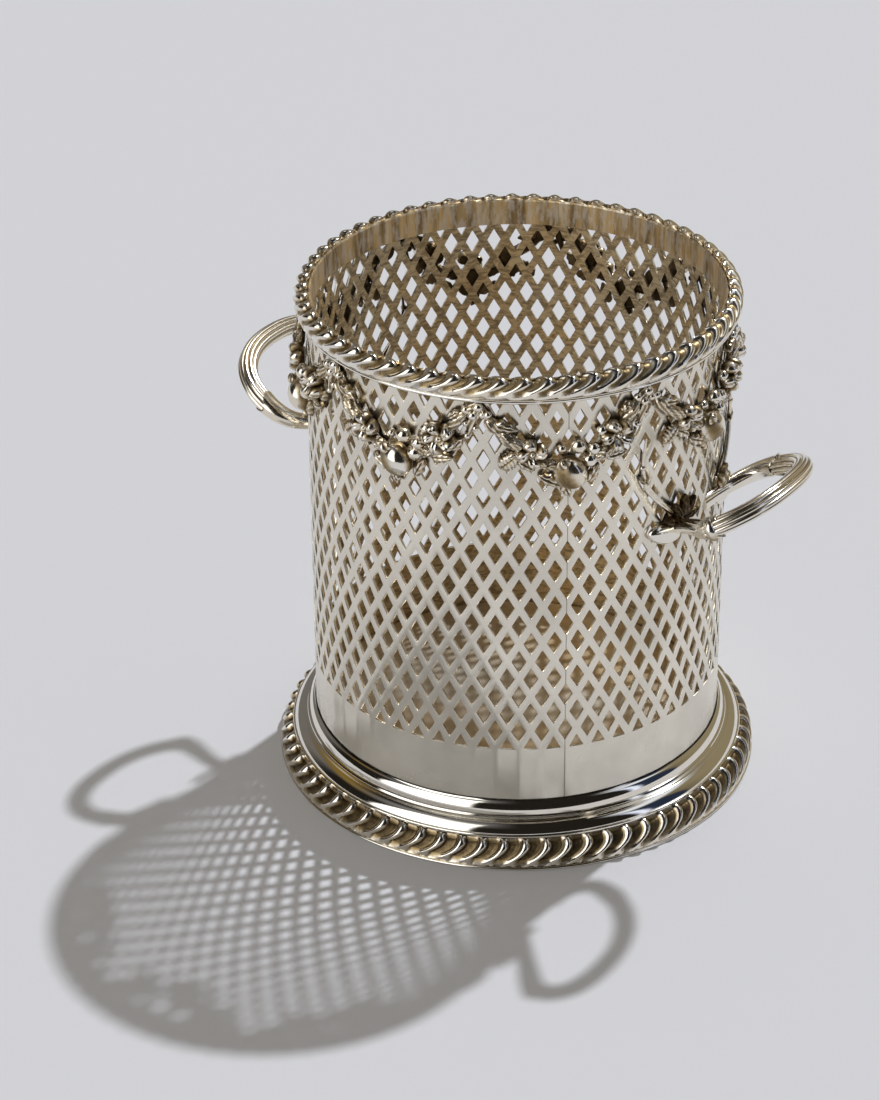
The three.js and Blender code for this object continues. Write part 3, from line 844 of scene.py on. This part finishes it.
class HOLDER_OT_foot(bpy.types.Operator):
    """Makes the stepped foot, its gadroon border, its edge and the floor"""

    bl_idname = "holder.foot"
    bl_label = "Foot"

    def execute(self, context):
        sizes = context.scene.holder_borders
        polished = shared(polished_finish, context.scene)
        profile = [(62.4, 17.5)]
        profile += arc((62.1, 12.72), (2.29, 4.6), 76, 18, 14)
        profile += [(64.3, 13.75), (64.7, 13.6), (64.85, 13.35), (64.85, 12.9)]
        profile += arc((64.79, 8.0), (4.38, 4.68), 84, 22, 18)
        profile += [(68.85, 9.72), (69.25, 9.6), (69.4, 9.4), (69.4, 8.95), (62.4, 8.95)]
        turned("stepped_foot", profile, FOOT_SIDES, "foot_moulding", polished)
        outer = [(68.5, 8.7), (69.2, 8.75)]
        outer += arc((68.9, 3.0), (4.45, 5.7), 80, 0, 24)
        outer += [(73.35, 2.0), (73.2, 1.3)]
        back = [(72.6, 1.05), (68.5, 1.05)]
        lobes, depth = sizes.foot_lobes, FOOT_DEPTH * sizes.depth / MM
        # The foot's film of 0.22 is partly brown tarnish and partly painted shade, darkening the lobes as
        # the shaded floor they mirror.
        form = {"lean": (0.8, 3), "body": 0.27, "fade_out": (0.12, 0.12), "knob": 0.04, "film": 0.22}
        tile = gadroon_tile("foot_tile", outer, back, lobes, depth, **form)
        ring_of(context, "gadroon_foot", tile, lobes, ["foot_gadroon"], sharp=60, weld=WELD)
        edge = [(67.2, 0), (73.2, 0)] + arc((73.05, 0.45), (0.45, 0.45), -80, 80, 6) + [(67.2, 0.9)]
        turned("foot_rim_edge", edge, FOOT_SIDES, "foot_edge", polished)
        plate = [(0.02, 12), (60.0, 12), (60.5, 12.3), (60.5, 12.9), (60.2, 13.2), (0.02, 13.2)]
        dull = shared(floor_finish, context.scene)
        turned("floor_disc", plate, FLOOR_SIDES, "floor_plate", dull)
        return {"FINISHED"}


# Festoons, shaped on the unrolled drum: along it, up and out

SHEET_GAP = 0.25  # how far the flat level 0 lies off the drum


def wrapped(radius):
    """Lays flat points on the drum."""
    return lambda p: round_axis(p[:, 0] / radius, radius + SHEET_GAP + p[:, 2], p[:, 1])


def spun(local, place, lean):
    """Turns points in the face of the drum and moves them to their place."""
    c, s = math.cos(lean), math.sin(lean)
    x, y, z = local[..., 0], local[..., 1], local[..., 2]
    return np.stack([place[0] + c * x - s * y, place[1] + s * x + c * y, place[2] + z], -1)


POLE = 0.06  # a ball's end rings lie this angle from its poles
BALL_GROOVE_DARK = 0.8


def ball(cast, place, reach, lean=0.0, ribs=0, depth=0.0, sides=16, rings=10):
    """A berry, fruit or husk about place, ribbed along its own x axis."""
    reach = np.broadcast_to(np.asarray(reach, float), 3)
    polar = np.linspace(POLE, math.pi - POLE, rings)
    turn = full_turn(sides)
    groove = 1 - depth * (0.5 - 0.5 * np.cos(ribs * turn)) if ribs else np.ones(sides)
    rows = np.stack(
        [
            np.broadcast_to(np.cos(polar)[:, None] * reach[0], (rings, sides)),
            np.sin(polar)[:, None] * np.cos(turn) * groove * reach[1],
            np.sin(polar)[:, None] * np.sin(turn) * groove * reach[2],
        ],
        -1,
    )
    dark = np.clip((1 - groove) / max(depth, 1e-6), 0, 1) * BALL_GROOVE_DARK * np.ones((rings, 1))
    # The side towards the drum is painted darker, as the shade there.
    low = np.clip(0.5 - rows[..., 2] / (2 * reach[2]), 0, 1) ** 2
    cast.add(spun(rows, place, lean), np.maximum(dark, low))


LEAF_GRID = (14, 11)  # points along and across a leaf
LEAF_LIFT = 0.9 * 0.3
LEAF_BASE = -0.35  # the level of its back
LEAF_TOOTH = 0.16  # how far its teeth stand out, as a share of its width
CREASE_HALF = 0.16  # half the crease's width, as a share of the leaf's half width
CREASE_DEEP = 0.55
VEIN_DEEP = 0.22
VEIN_FROM = 0.1  # the veins start beside the crease
CURL_FROM = 0.55  # the share of the length from which the tip curls


def leaf(cast, place, length, width, lean, rise=1.2, curl=0.0, teeth=3):
    """A leaf that lies on the drum: raised along two cushions, creased down its middle, toothed edge."""
    s = np.linspace(0.01, 0.99, LEAF_GRID[0])[:, None]
    c = np.linspace(-1, 1, LEAF_GRID[1])[None, :]
    tooth = 1 + LEAF_TOOTH * np.sin(s * teeth * 2 * math.pi) * (s < 0.93)
    half = width / 2 * np.sin(math.pi * s**0.75) ** 0.7 * tooth
    x = (s - 0.5) * length + 0 * c
    y = c * half
    crease = np.exp(-((c / CREASE_HALF) ** 2))
    veins = 0.5 + 0.5 * np.cos((s * teeth - np.abs(c) * 0.8) * 2 * math.pi)
    cushion = (1 - c**2) ** 0.5 * np.sin(math.pi * s) ** 0.4
    off_crease = np.abs(c) > VEIN_FROM
    curled = curl * np.clip(s - CURL_FROM, 0, 1) ** 2
    z = rise * cushion - CREASE_DEEP * crease * cushion - VEIN_DEEP * veins * cushion * off_crease
    z = z + curled * 4 + LEAF_LIFT
    top = np.stack([x, y, z], -1)
    base = np.stack([x, y * 0.94, z * 0 + LEAF_BASE + curled * 3], -1)
    rows = np.concatenate([top, base[:, ::-1]], 1)
    dark = np.maximum(crease * 0.9, 0.55 * veins * off_crease) + 0.35 * np.abs(c) ** 4
    # The leaf's back is painted dark, as the shade under it.
    cast.add(spun(rows, place, lean), np.concatenate([dark, np.full_like(dark, 0.9)], 1))


# A flower from its eye to its back, as shares of its radius: reach and height
FLOWER_REACH = (0.0, 0.08, 0.15, 0.2, 0.32, 0.5, 0.7, 0.88, 1.0, 0.97, 0.8)
FLOWER_HEIGHT = (0.44, 0.42, 0.3, 0.2, 0.34, 0.5, 0.54, 0.42, 0.1, -0.2, -0.4)
EYE_GROOVE, PETAL_EDGE = 3, 8  # their places in the two rows above
FLOWER_TURN = 0.4
FLOWER_SWIRL = 0.5  # how far a petal's edge turns past its root
PETAL_NOTCH = 0.3  # how far the outline draws in between two petals
PETAL_CUP = 0.3  # how far a petal's middle stands above its sides
PETAL_CREASE = 0.12


def flower(cast, place, radius, petals, lean=0.0):
    """An open flower with cupped petals and a raised eye."""
    turn = full_turn(petals * 8)
    petal = np.abs(np.cos(petals * turn / 2 + FLOWER_TURN))
    crease = np.exp(-((np.sin(petals * turn / 2 + FLOWER_TURN) / 0.25) ** 2))
    rows, dark = [], []
    for k, (r, h) in enumerate(zip(FLOWER_REACH, FLOWER_HEIGHT)):
        front = k <= PETAL_EDGE
        outer = np.clip((r - 0.15) / 0.5, 0, 1)
        reach = radius * max(r, 0.01) * (1 - PETAL_NOTCH * outer * (1 - petal**0.5))
        swirl = turn + FLOWER_SWIRL * r
        lift = radius * (h + front * outer * (PETAL_CUP * (petal - 0.7) - PETAL_CREASE * crease))
        rows.append(np.stack([reach * np.cos(swirl), reach * np.sin(swirl), lift], -1))
        deep = np.maximum((1 - petal**0.6) * 1.8, 0.5 * crease) * outer
        # Past the petals' edge, the flower's back is painted dark, as the shade under it.
        dark.append(np.clip(deep + 0.6 * (k == EYE_GROOVE) + (not front), 0, 1))
    cast.add(spun(np.array(rows), place, lean), np.array(dark))


STEM_GROOVE_DARK = 0.85
STEM_UNDER = -0.4  # the height on a stem, as a share of its radius, under which it is painted dark, as the shade on its underside


def stem(cast, path, reach, ribs=5, twist=2.0, sides=20, depth=0.2):
    """A ribbed, twisted stem through points of along, up and out."""
    path = np.array(path, float)
    spots = np.linspace(0, len(path) - 1, 5 * len(path))
    line = np.stack([np.interp(spots, range(len(path)), path[:, k]) for k in range(3)], -1)
    for _ in range(3):
        line[1:-1] = (line[:-2] + 2 * line[1:-1] + line[2:]) / 4
    sizes = np.interp(np.linspace(0, 1, len(line)), np.linspace(0, 1, len(reach)), reach)
    way = np.gradient(line, axis=0)
    way /= np.linalg.norm(way, axis=1)[:, None]
    across = np.cross(way, [0, 0, 1.0])
    across /= np.linalg.norm(across, axis=1)[:, None]
    lift = np.cross(across, way)
    turn = full_turn(sides)
    rows, dark = [], []
    for k, (p, a, u, r) in enumerate(zip(line, across, lift, sizes)):
        rib = 0.5 - 0.5 * np.cos(ribs * (turn + twist * k / len(line)))
        size = r * (1 - depth * rib)
        rows.append(p + np.outer(np.cos(turn) * size, a) + np.outer(np.sin(turn) * size, u))
        dark.append(np.maximum(rib * STEM_GROOVE_DARK, (np.sin(turn) < STEM_UNDER) * 1.0))
    cast.add(np.array(rows), np.array(dark))


FESTOON_FILM = 0.22
FESTOON_BACK = 0.1  # the level of its flat back


def festoon_form(fruit):
    """One festoon about its own middle."""
    cast = Casting(FESTOON_FILM)
    stem(cast, [(-24.0, 148.2, 0.5), (-22.6, 145.8, 0.9), (-21.0, 143.6, 1.1)], [0.7, 1.2, 1.3])
    ball(cast, (-20.4, 142.6, 1.6), (2.6, 2.0, 1.9), lean=-0.95, ribs=8, depth=0.14)
    ball(cast, (-21.6, 145.4, 1.3), 1.2)
    leaf(cast, (-17.0, 142.2, 1.2), 7.6, 3.6, -0.25, rise=1.6, curl=0.5)
    stem(cast, [(-19.8, 141.6, 1.2), (-16.2, 138.6, 2.0), (-12.6, 136.2, 2.0)], [1.2, 2.1, 1.8], ribs=7)
    leaf(cast, (-15.6, 131.4, 0.8), 7.4, 5.0, 0.75, rise=1.5, teeth=7)
    leaf(cast, (-11.0, 130.0, 0.7), 5.6, 3.4, -0.6, rise=1.3, curl=0.8)
    flower(cast, (-9.6, 134.2, 2.2), 4.4, petals=4)
    husk = {"ribs": 8, "depth": 0.26}
    stem(cast, [(-8.0, 131.4, 1.2), (-5.0, 130.2, 1.8), (-2.4, 129.8, 1.5)], [1.4, 2.0, 1.5], **husk)
    pear = (fruit * 1.08, fruit, fruit * 0.95)
    ball(cast, (0.9, 127.4, 2.0), pear, lean=2.1, ribs=3, depth=0.07, sides=27, rings=18)
    ball(cast, (-1.5, 131.2, 4.6), (1.7, 1.9, 1.3), lean=2.1, ribs=4, depth=0.4, sides=24)
    ball(cast, (3.0, 135.4, 2.0), 2.2)
    ball(cast, (6.3, 130.6, 1.8), 2.1)
    ball(cast, (7.4, 134.0, 1.9), 1.9)
    ball(cast, (-1.4, 134.6, 1.2), 1.4)
    leaf(cast, (-4.4, 124.8, 0.9), 7.4, 3.4, -0.5, rise=1.4, curl=0.9)
    leaf(cast, (0.0, 121.6, 0.7), 5.0, 3.0, -1.2, rise=1.3, curl=0.7)
    leaf(cast, (7.6, 126.0, 0.8), 6.6, 3.2, 1.1, rise=1.4, curl=0.7)
    stem(cast, [(7.6, 130.8, 1.2), (10.6, 132.0, 1.9), (13.0, 134.0, 1.7)], [1.4, 2.1, 1.6], **husk)
    leaf(cast, (14.4, 130.6, 0.8), 6.6, 3.6, 0.15, rise=1.4, curl=0.6, teeth=4)
    flower(cast, (14.0, 137.4, 2.4), 5.0, petals=5, lean=0.5)
    leaf(cast, (18.6, 135.4, 0.8), 5.4, 3.0, 0.9, rise=1.3, curl=0.6)
    ball(cast, (9.9, 138.9, 1.6), 1.7)
    stem(cast, [(16.4, 140.2, 1.4), (18.8, 143.0, 1.7), (20.6, 145.4, 1.2)], [1.4, 1.8, 1.1], ribs=6)
    leaf(cast, (17.6, 144.6, 0.9), 4.6, 2.4, 0.7, rise=1.2, curl=0.6)
    stem(cast, [(20.4, 145.2, 1.1), (22.4, 147.2, 1.0), (24.0, 148.5, 0.5)], [1.0, 1.1, 0.7])
    return cast


def joint_form():
    """Knot and pendant where two festoons meet, hung with small berries."""
    cast = Casting(FESTOON_FILM)
    ball(cast, (0, 147.4, 1.0), (1.5, 1.4, 1.4))
    ball(cast, (-3.4, 146.4, 1.1), 1.25)
    ball(cast, (-1.4, 144.8, 1.3), 1.35)
    ball(cast, (1.3, 145.2, 1.0), 1.1)
    pendant = [(-0.6, 146.6, 0.8), (-1.6, 143.0, 1.1), (-2.6, 138.6, 0.7)]
    stem(cast, pendant, [0.9, 1.3, 0.8], ribs=4, depth=0.3)
    ball(cast, (-3.3, 142.2, 1.0), 0.95)
    ball(cast, (-0.6, 140.9, 1.0), 0.9)
    ball(cast, (-3.0, 138.2, 0.8), 1.0)
    return cast


class HOLDER_OT_festoons(bpy.types.Operator):
    """Makes the festoons and the knots between them"""

    bl_idname = "holder.festoons"
    bl_label = "Festoons"

    def execute(self, context):
        sizes = context.scene.holder_festoons
        radius = context.scene.holder_drum.radius / MM
        forms = (
            ("festoon_ring", festoon_form(sizes.fruit / MM), 0.0, "festoon_"),
            ("festoon_knots", joint_form(), math.pi / sizes.count, "festoon_joint_"),
        )
        for name, cast, first, node in forms:
            cast.rest(FESTOON_BACK)
            cast.bend(wrapped(radius))
            tile = linked(name + "_tile", cast.mesh(name + "_tile"))
            nodes = [f"{node}{k + 1}" for k in range(SWAGS)]
            ring_of(context, name, tile, sizes.count, nodes, sharp=50, first=first)
        return {"FINISHED"}


# Handles, shaped in their own plane: out, sideways and off it


def handle_plane(sizes, radius):
    """Lays points from a handle's plane on the right side of the drum."""
    c, s = math.cos(sizes.tilt), math.sin(sizes.tilt)
    basis = np.array([[c, 0, s], [0, 1, 0], [-s, 0, c]])
    start = np.array([radius, 0, sizes.height / MM])
    return lambda points: points @ basis + start


# Keys -1 and 1 are the ends towards the front and the back of the right handle
LOOP_ENDS = {-1: math.radians(-69), 1: math.radians(89)}
LOOP_SQUARE = 0.88  # under 1 the oval is fuller at its corners
BAND_HALF = 3.0
BAND_THICK = 2.75
REEDS = 10
REED_POINTS = 8
LOOP_STEPS = 84
REED_CORE = 0.86  # the section between two reeds, as a share of the band
REED_RISE = 0.17
REED_FULL = 0.75  # under 1 a reed is fuller
REED_GROOVE_DARK = 0.9


def reed_section():
    """Section of the reeded loop, as across and off, with how deep each point lies in a groove."""
    turn = full_turn(REED_POINTS * REEDS)
    reed = np.abs(np.sin(REEDS * turn / 2)) ** REED_FULL
    size = REED_CORE + REED_RISE * reed
    return np.stack([BAND_HALF * size * np.cos(turn), BAND_THICK * size * np.sin(turn), 1 - reed], -1)


def loop_spot(sizes, angle):
    """Where the loop's middle line is at an angle, and which way it runs there."""

    def oval(at):
        full = [np.sign(f) * np.abs(f) ** LOOP_SQUARE for f in (np.cos(at), np.sin(at))]
        return np.stack([(sizes.centre + sizes.out * full[0]) / MM, sizes.side * full[1] / MM], -1)

    angle = np.asarray(angle)
    way = oval(angle + 0.02) - oval(angle - 0.02)
    return oval(angle), way / np.linalg.norm(way, axis=-1, keepdims=True)


def beside(spot, way, across, off):
    """Points across and off a line in a handle's plane, which runs a way at a spot."""
    return np.stack([spot[..., 0] + way[..., 1] * across, spot[..., 1] - way[..., 0] * across, off], -1)


def loop_form(sizes):
    """The reeded loop between its two ends."""
    cast = Casting()
    across, off, groove = reed_section().T
    line = loop_spot(sizes, np.linspace(LOOP_ENDS[-1], LOOP_ENDS[1], LOOP_STEPS))
    cast.add([beside(spot, way, across, off) for spot, way in zip(*line)], groove * REED_GROOVE_DARK)
    return cast


def bezier(points, s):
    a, b, c, d = [np.array(p, float) for p in points]
    s = np.asarray(s)[:, None]
    return (1 - s) ** 3 * a + 3 * (1 - s) ** 2 * s * b + 3 * (1 - s) * s**2 * c + s**3 * d


CALYX_RUN = (0.0, 0.05, 0.12, 0.2, 0.3, 0.45, 0.62, 0.8, 1.0)  # shares of the way to the drum
CALYX_SIZE = (3.75, 3.5, 3.3, 3.15, 2.95, 2.65, 2.4, 2.45, 3.0)
CALYX_SIDES, CALYX_STEPS = 32, 36
CALYX_FLAT = 0.93  # its thickness off the plane, as a share of its width
CALYX_LIP = 0.9  # its hidden end, as a share of the band
CALYX_TIP = 3.4  # how far its open end is cut back between its two tips
CALYX_OVER = math.radians(7)  # how far the tips reach over the loop
KNUCKLE = (2.3, 3.7, 3.6)  # half sizes of the ball between the front calyx and the loop
# How far a strut runs on in line with the loop, the point that it heads for, and where it ends
STRUT_PATHS = {-1: (3.0, (11.0, 17.0), (-2.4, 10.5)), 1: (9.5, (0.8, 19.0), (-2.6, 5.0))}


def strut_form(sizes, side):
    """A smooth calyx that holds one end of the loop with two pointed tips and runs to the drum."""
    cast = Casting()
    end = abs(LOOP_ENDS[side])
    spot, way = loop_spot(sizes, end)
    round_loop, _ = loop_spot(sizes, np.linspace(end - CALYX_OVER, end, 8))
    first, *others = STRUT_PATHS[side]
    wall = bezier([spot, spot + way * first, *others], np.linspace(0.04, 1, 30))
    line = np.vstack([round_loop, wall])
    run = np.append(0, np.cumsum(np.linalg.norm(np.diff(line, axis=0), axis=1)))
    heading = np.gradient(line, axis=0)
    turn = full_turn(CALYX_SIDES)
    start = CALYX_TIP * np.cos(turn) ** 2
    rows, dark = [], []
    for share in np.concatenate([[0, 0], np.linspace(0, 1, CALYX_STEPS)[1:] ** 1.2]):
        at = start + (run[-1] - start) * share
        middle = np.stack([np.interp(at, run, line[:, k]) for k in range(2)], -1)
        ahead = np.stack([np.interp(at, run, heading[:, k]) for k in range(2)], -1)
        ahead /= np.linalg.norm(ahead, axis=1)[:, None]
        size = np.interp(at / run[-1], CALYX_RUN, CALYX_SIZE)
        lip = BAND_HALF * CALYX_LIP / size if not rows else 1.0
        across, off = size * np.cos(turn) * lip, size * CALYX_FLAT * np.sin(turn) * lip
        rows.append(beside(middle, ahead, across, off))
        dark.append(np.full(len(turn), 0.7 if len(rows) == 1 else 0.3 * max(0.0, share - 0.75) * 4))
    cast.add(np.array(rows), np.array(dark))
    if side < 0:
        lean = math.atan2(way[1], way[0])
        ball(cast, (*(spot + way * 0.6), 0.0), KNUCKLE, lean, sides=32, rings=20)
        cast.bend(lambda p: p * [1, -1, 1])
    return cast


TENDRIL_HIGH = ((13.0, 104.5, 0.5), (17.6, 108.8, 0.8), (21.5, 113.6, 0.7), (25.6, 120.6, 0.3))
TENDRIL_LOW = (
    (14.0, 105.0, 0.4),
    (19.5, 110.5, 0.8),
    (24.2, 116.0, 0.7),
    (25.3, 124.0, 0.6),
    (24.0, 132.0, 0.3),
)
ACANTHUS = (  # place, length, width, lean
    ((14.6, 102.8, 1.2), 7.0, 3.2, 0.35),
    ((12.8, 105.4, 1.2), 7.2, 3.2, 1.05),
    ((10.0, 106.4, 1.4), 7.2, 3.2, 1.6),
    ((7.4, 105.2, 1.2), 6.4, 3.0, 2.2),
    ((6.2, 102.2, 1.0), 5.6, 2.8, 2.9),
)
BOSS = (16.6, 99.0, 0.8)
SPRAY_FILM = 0.4


def spray_form(radius, side):
    """The acanthus at the foot of a strut, the polished boss under it and its two tendrils."""
    cast = Casting(SPRAY_FILM)
    stem(cast, TENDRIL_HIGH, [1.0, 0.8, 0.65, 0.4], ribs=0)
    stem(cast, TENDRIL_LOW, [1.0, 0.8, 0.6, 0.5, 0.35], ribs=0)
    leaf(cast, (24.8, 118.9, 0.3), 4.6, 1.8, 0.8)
    ball(cast, (25.3, 123.2, 0.6), 0.9)
    # The front end's acanthus gets a deeper film: partly its dark bronze, partly painted shade for the deep
    # shade it lies in.
    cast.film = 0.95 if side < 0 else SPRAY_FILM
    for place, length, width, lean in ACANTHUS if side < 0 else ACANTHUS[:2]:
        leaf(cast, place, length, width, lean, rise=1.7, curl=0.9)
    cast.film = 0.0
    ball(cast, BOSS, (6.4, 3.1, 2.3), lean=0.3, sides=32, rings=20)
    quarter = radius * math.pi / 2
    cast.bend(lambda p: np.stack([p[:, 0] * side + quarter, p[:, 1], p[:, 2]], -1))
    return cast


class HOLDER_OT_handles(bpy.types.Operator):
    """Makes the two reeded loops, their struts and the leaves and tendrils on the drum"""

    bl_idname = "holder.handles"
    bl_label = "Handles"

    def execute(self, context):
        sizes = context.scene.holder_handles
        radius = context.scene.holder_drum.radius / MM
        plane = handle_plane(sizes, radius)
        forms = [("loops", loop_form(sizes), plane, "loop")]
        for side, end in ((-1, "near"), (1, "far")):
            forms.append((f"struts_{end}", strut_form(sizes, side), plane, f"strut_{end}"))
            forms.append((f"tendrils_{end}", spray_form(radius, side), wrapped(radius), f"spray_{end}"))
        for name, cast, lay, part in forms:
            cast.bend(lay)
            tile = linked(name + "_tile", cast.mesh(name + "_tile"))
            nodes = [f"handle_{hand}_{part}" for hand in ("right", "left")]
            ring_of(context, "handle_" + name, tile, 2, nodes, sharp=55)
        return {"FINISHED"}


# Stage

VIEW_TURN = math.radians(32.5)  # from the part's front to the photograph's side
VIEW_OUT = 0.888
VIEW_HIGH = 0.5729
VIEW_PITCH = 0.51795
VIEW_YAW = -0.0264
VIEW_ROLL = -0.0089
FOCAL_PX = 3371.2
PHOTO_HIGH_PX = 1100
SENSOR = 24.0
PAPER_HALF = 6.0
KEY_FROM = (0.449, 0.623, 1.0)  # right, away and up
KEY_SPREAD = math.radians(1.7)
KEY_COLOUR = (0.955, 0.98, 1.03)
SOFT_COLOUR = (0.9, 0.86, 0.8)


def seen(x, y, z=0.0):
    """A direction in the photograph's own frame, right, away and up, turned into the part's."""
    c, s = math.cos(VIEW_TURN), math.sin(VIEW_TURN)
    return Vector((c * x - s * y, s * x + c * y, z))


# What the metal mirrors, seen from the object: turn from the photograph's side (degrees, growing to the
# right) and height, each from and to with its own soft edge, and the colour there
DARK_ROOM = (0.014, 0.012, 0.01)
ROOM_PANELS = (
    ((-180, -116, 14), (-20, 42, 14), (0.16, 0.15, 0.14)),
    ((-172, -100, 18), (38, 52, 7), (0.2, 0.13, 0.03)),
    ((-176, -156, 8), (44, 62, 6), (0.9, 0.9, 0.9)),
    ((-110, -20, 26), (50, 80, 14), (0.22, 0.22, 0.23)),
    ((-73, -23, 2.5), (-40, 62, 9), (1.9, 1.9, 1.9)),
    ((88, 175, 24), (-20, 48, 12), (0.26, 0.22, 0.14)),
    ((62, 90, 2), (-40, 46, 10), (0.02, 0.03, 0.06)),
    ((61, 67, 2.5), (-40, 44, 10), (0.9, 1.0, 1.3)),
    ((66, 135, 10), (46, 60, 5), (0.8, 0.85, 0.95)),
)


def pale_world(soft, floor):
    """Soft even light, and for the metal to show, a dark room with pale panels round it."""
    world = bpy.data.worlds.new("studio")
    bpy.context.scene.world = world
    world.use_nodes = True
    world.node_tree.nodes.clear()
    tree = Nodes(world.node_tree)
    path = tree.node("ShaderNodeLightPath").outputs
    way = tree.node("ShaderNodeTexCoord").outputs["Generated"]

    def along(*axis):
        return tree.vector("DOT_PRODUCT", way, seen(*axis))["Value"]

    def between(value, low, high, edge):
        rise = tree.ramp(value, low - edge, low + edge, "SMOOTHSTEP")
        return tree.math("SUBTRACT", rise, tree.ramp(value, high - edge, high + edge, "SMOOTHSTEP"))

    def shade(colour, strength=1.0):
        return tree.node("ShaderNodeBackground", {"Color": colour, "Strength": strength}).outputs[0]

    def chosen(ray, other, where):
        return tree.node("ShaderNodeMixShader", {0: path[ray], 1: other, 2: where}).outputs[0]

    away = tree.math("MULTIPLY", along(0.0, 1.0), -1.0)
    turn = tree.math("DEGREES", tree.math("ARCTAN2", along(1.0, 0.0), away))
    height = tree.math("DEGREES", tree.math("ARCSINE", along(0.0, 0.0, 1.0)))
    room = rgba(DARK_ROOM)
    for (left, right, side_edge), (low, high, top_edge), colour in ROOM_PANELS:
        across, up = between(turn, left, right, side_edge), between(height, low, high, top_edge)
        room = tree.mix(tree.math("MULTIPLY", across, up), room, rgba(colour))
    mirrored = chosen("Is Glossy Ray", shade(rgba(SOFT_COLOUR), soft), shade(room))
    shown = chosen("Is Camera Ray", mirrored, shade(floor))
    tree.node("ShaderNodeOutputWorld", {"Surface": shown})


class HOLDER_OT_stage(bpy.types.Operator):
    """Makes the paper floor, the key lamp, the world and the camera"""

    bl_idname = "holder.stage"
    bl_label = "Stage"

    def execute(self, context):
        settings = context.scene.holder_stage
        mesh = bpy.data.meshes.new("paper")
        corners = [(x * PAPER_HALF, y * PAPER_HALF, 0) for x, y in ((-1, -1), (1, -1), (1, 1), (-1, 1))]
        mesh.from_pydata(corners, [], [(0, 1, 2, 3)])
        paper = linked("paper", mesh)
        material = bpy.data.materials.new("paper")
        material.use_nodes = True
        shader = material.node_tree.nodes["Principled BSDF"]
        shader.inputs["Base Color"].default_value = rgba(settings.floor)
        shader.inputs["Roughness"].default_value = 0.85
        shader.inputs["Specular IOR Level"].default_value = 0.15
        mesh.materials.append(material)
        pale_world(settings.soft, rgba(settings.floor))
        sun = bpy.data.lights.new("key", "SUN")
        sun.energy = settings.key
        sun.angle = KEY_SPREAD
        sun.color = KEY_COLOUR
        key = linked("key", sun)
        key.rotation_euler = seen(*KEY_FROM).to_track_quat("Z", "Y").to_euler()
        camera = bpy.data.cameras.new("camera")
        camera.sensor_fit = "VERTICAL"
        camera.sensor_height = SENSOR
        camera.lens = FOCAL_PX / PHOTO_HIGH_PX * SENSOR
        view = linked("camera", camera)
        cos_yaw, sin_yaw = math.cos(VIEW_YAW), math.sin(VIEW_YAW)
        cos_pitch, sin_pitch = math.cos(VIEW_PITCH), math.sin(VIEW_PITCH)
        cos_roll, sin_roll = math.cos(VIEW_ROLL), math.sin(VIEW_ROLL)
        ahead = Vector((sin_yaw * cos_pitch, cos_yaw * cos_pitch, -sin_pitch))
        level = Vector((cos_yaw, -sin_yaw, 0))
        upright = level.cross(ahead)
        right = cos_roll * level + sin_roll * upright
        up = cos_roll * upright - sin_roll * level
        axes = [seen(*axis) for axis in (right, up, -ahead)]
        place = Matrix.Translation(seen(0.0, -VIEW_OUT, VIEW_HIGH))
        view.matrix_world = place @ Matrix(axes).transposed().to_4x4()
        context.scene.camera = view
        context.scene.view_settings.view_transform = "Standard"
        return {"FINISHED"}


STEPS = (
    HOLDER_OT_stage,
    HOLDER_OT_drum,
    HOLDER_OT_rim,
    HOLDER_OT_foot,
    HOLDER_OT_festoons,
    HOLDER_OT_handles,
)


class HOLDER_PT_panel(bpy.types.Panel):
    """Lists the steps that make the bottle holder"""

    bl_idname = "HOLDER_PT_panel"
    bl_label = "Bottle holder"
    bl_space_type = "VIEW_3D"
    bl_region_type = "UI"
    bl_category = "Bottle holder"

    def draw(self, context):
        for step in STEPS:
            self.layout.operator(step.bl_idname)
        for holder in SETTINGS:
            settings = getattr(context.scene, holder)
            for name in settings.bl_rna.properties.keys():
                if name not in {"rna_type", "name"}:
                    self.layout.prop(settings, name)


SETTINGS = {
    "holder_drum": DrumSizes,
    "holder_borders": BorderSizes,
    "holder_festoons": FestoonSizes,
    "holder_handles": HandleSizes,
    "holder_colours": FinishColours,
    "holder_stage": StageSettings,
}
CLASSES = (*SETTINGS.values(), *STEPS, HOLDER_PT_panel)


def register():
    for kind in CLASSES:
        bpy.utils.register_class(kind)
    for name, kind in SETTINGS.items():
        setattr(bpy.types.Scene, name, bpy.props.PointerProperty(type=kind))


def unregister():
    for name in SETTINGS:
        delattr(bpy.types.Scene, name)
    for kind in reversed(CLASSES):
        bpy.utils.unregister_class(kind)


def main():
    register()
    bpy.ops.holder.stage()
    bpy.ops.holder.drum()
    bpy.ops.holder.rim()
    bpy.ops.holder.foot()
    bpy.ops.holder.festoons()
    bpy.ops.holder.handles()


if __name__ == "__main__":
    main()
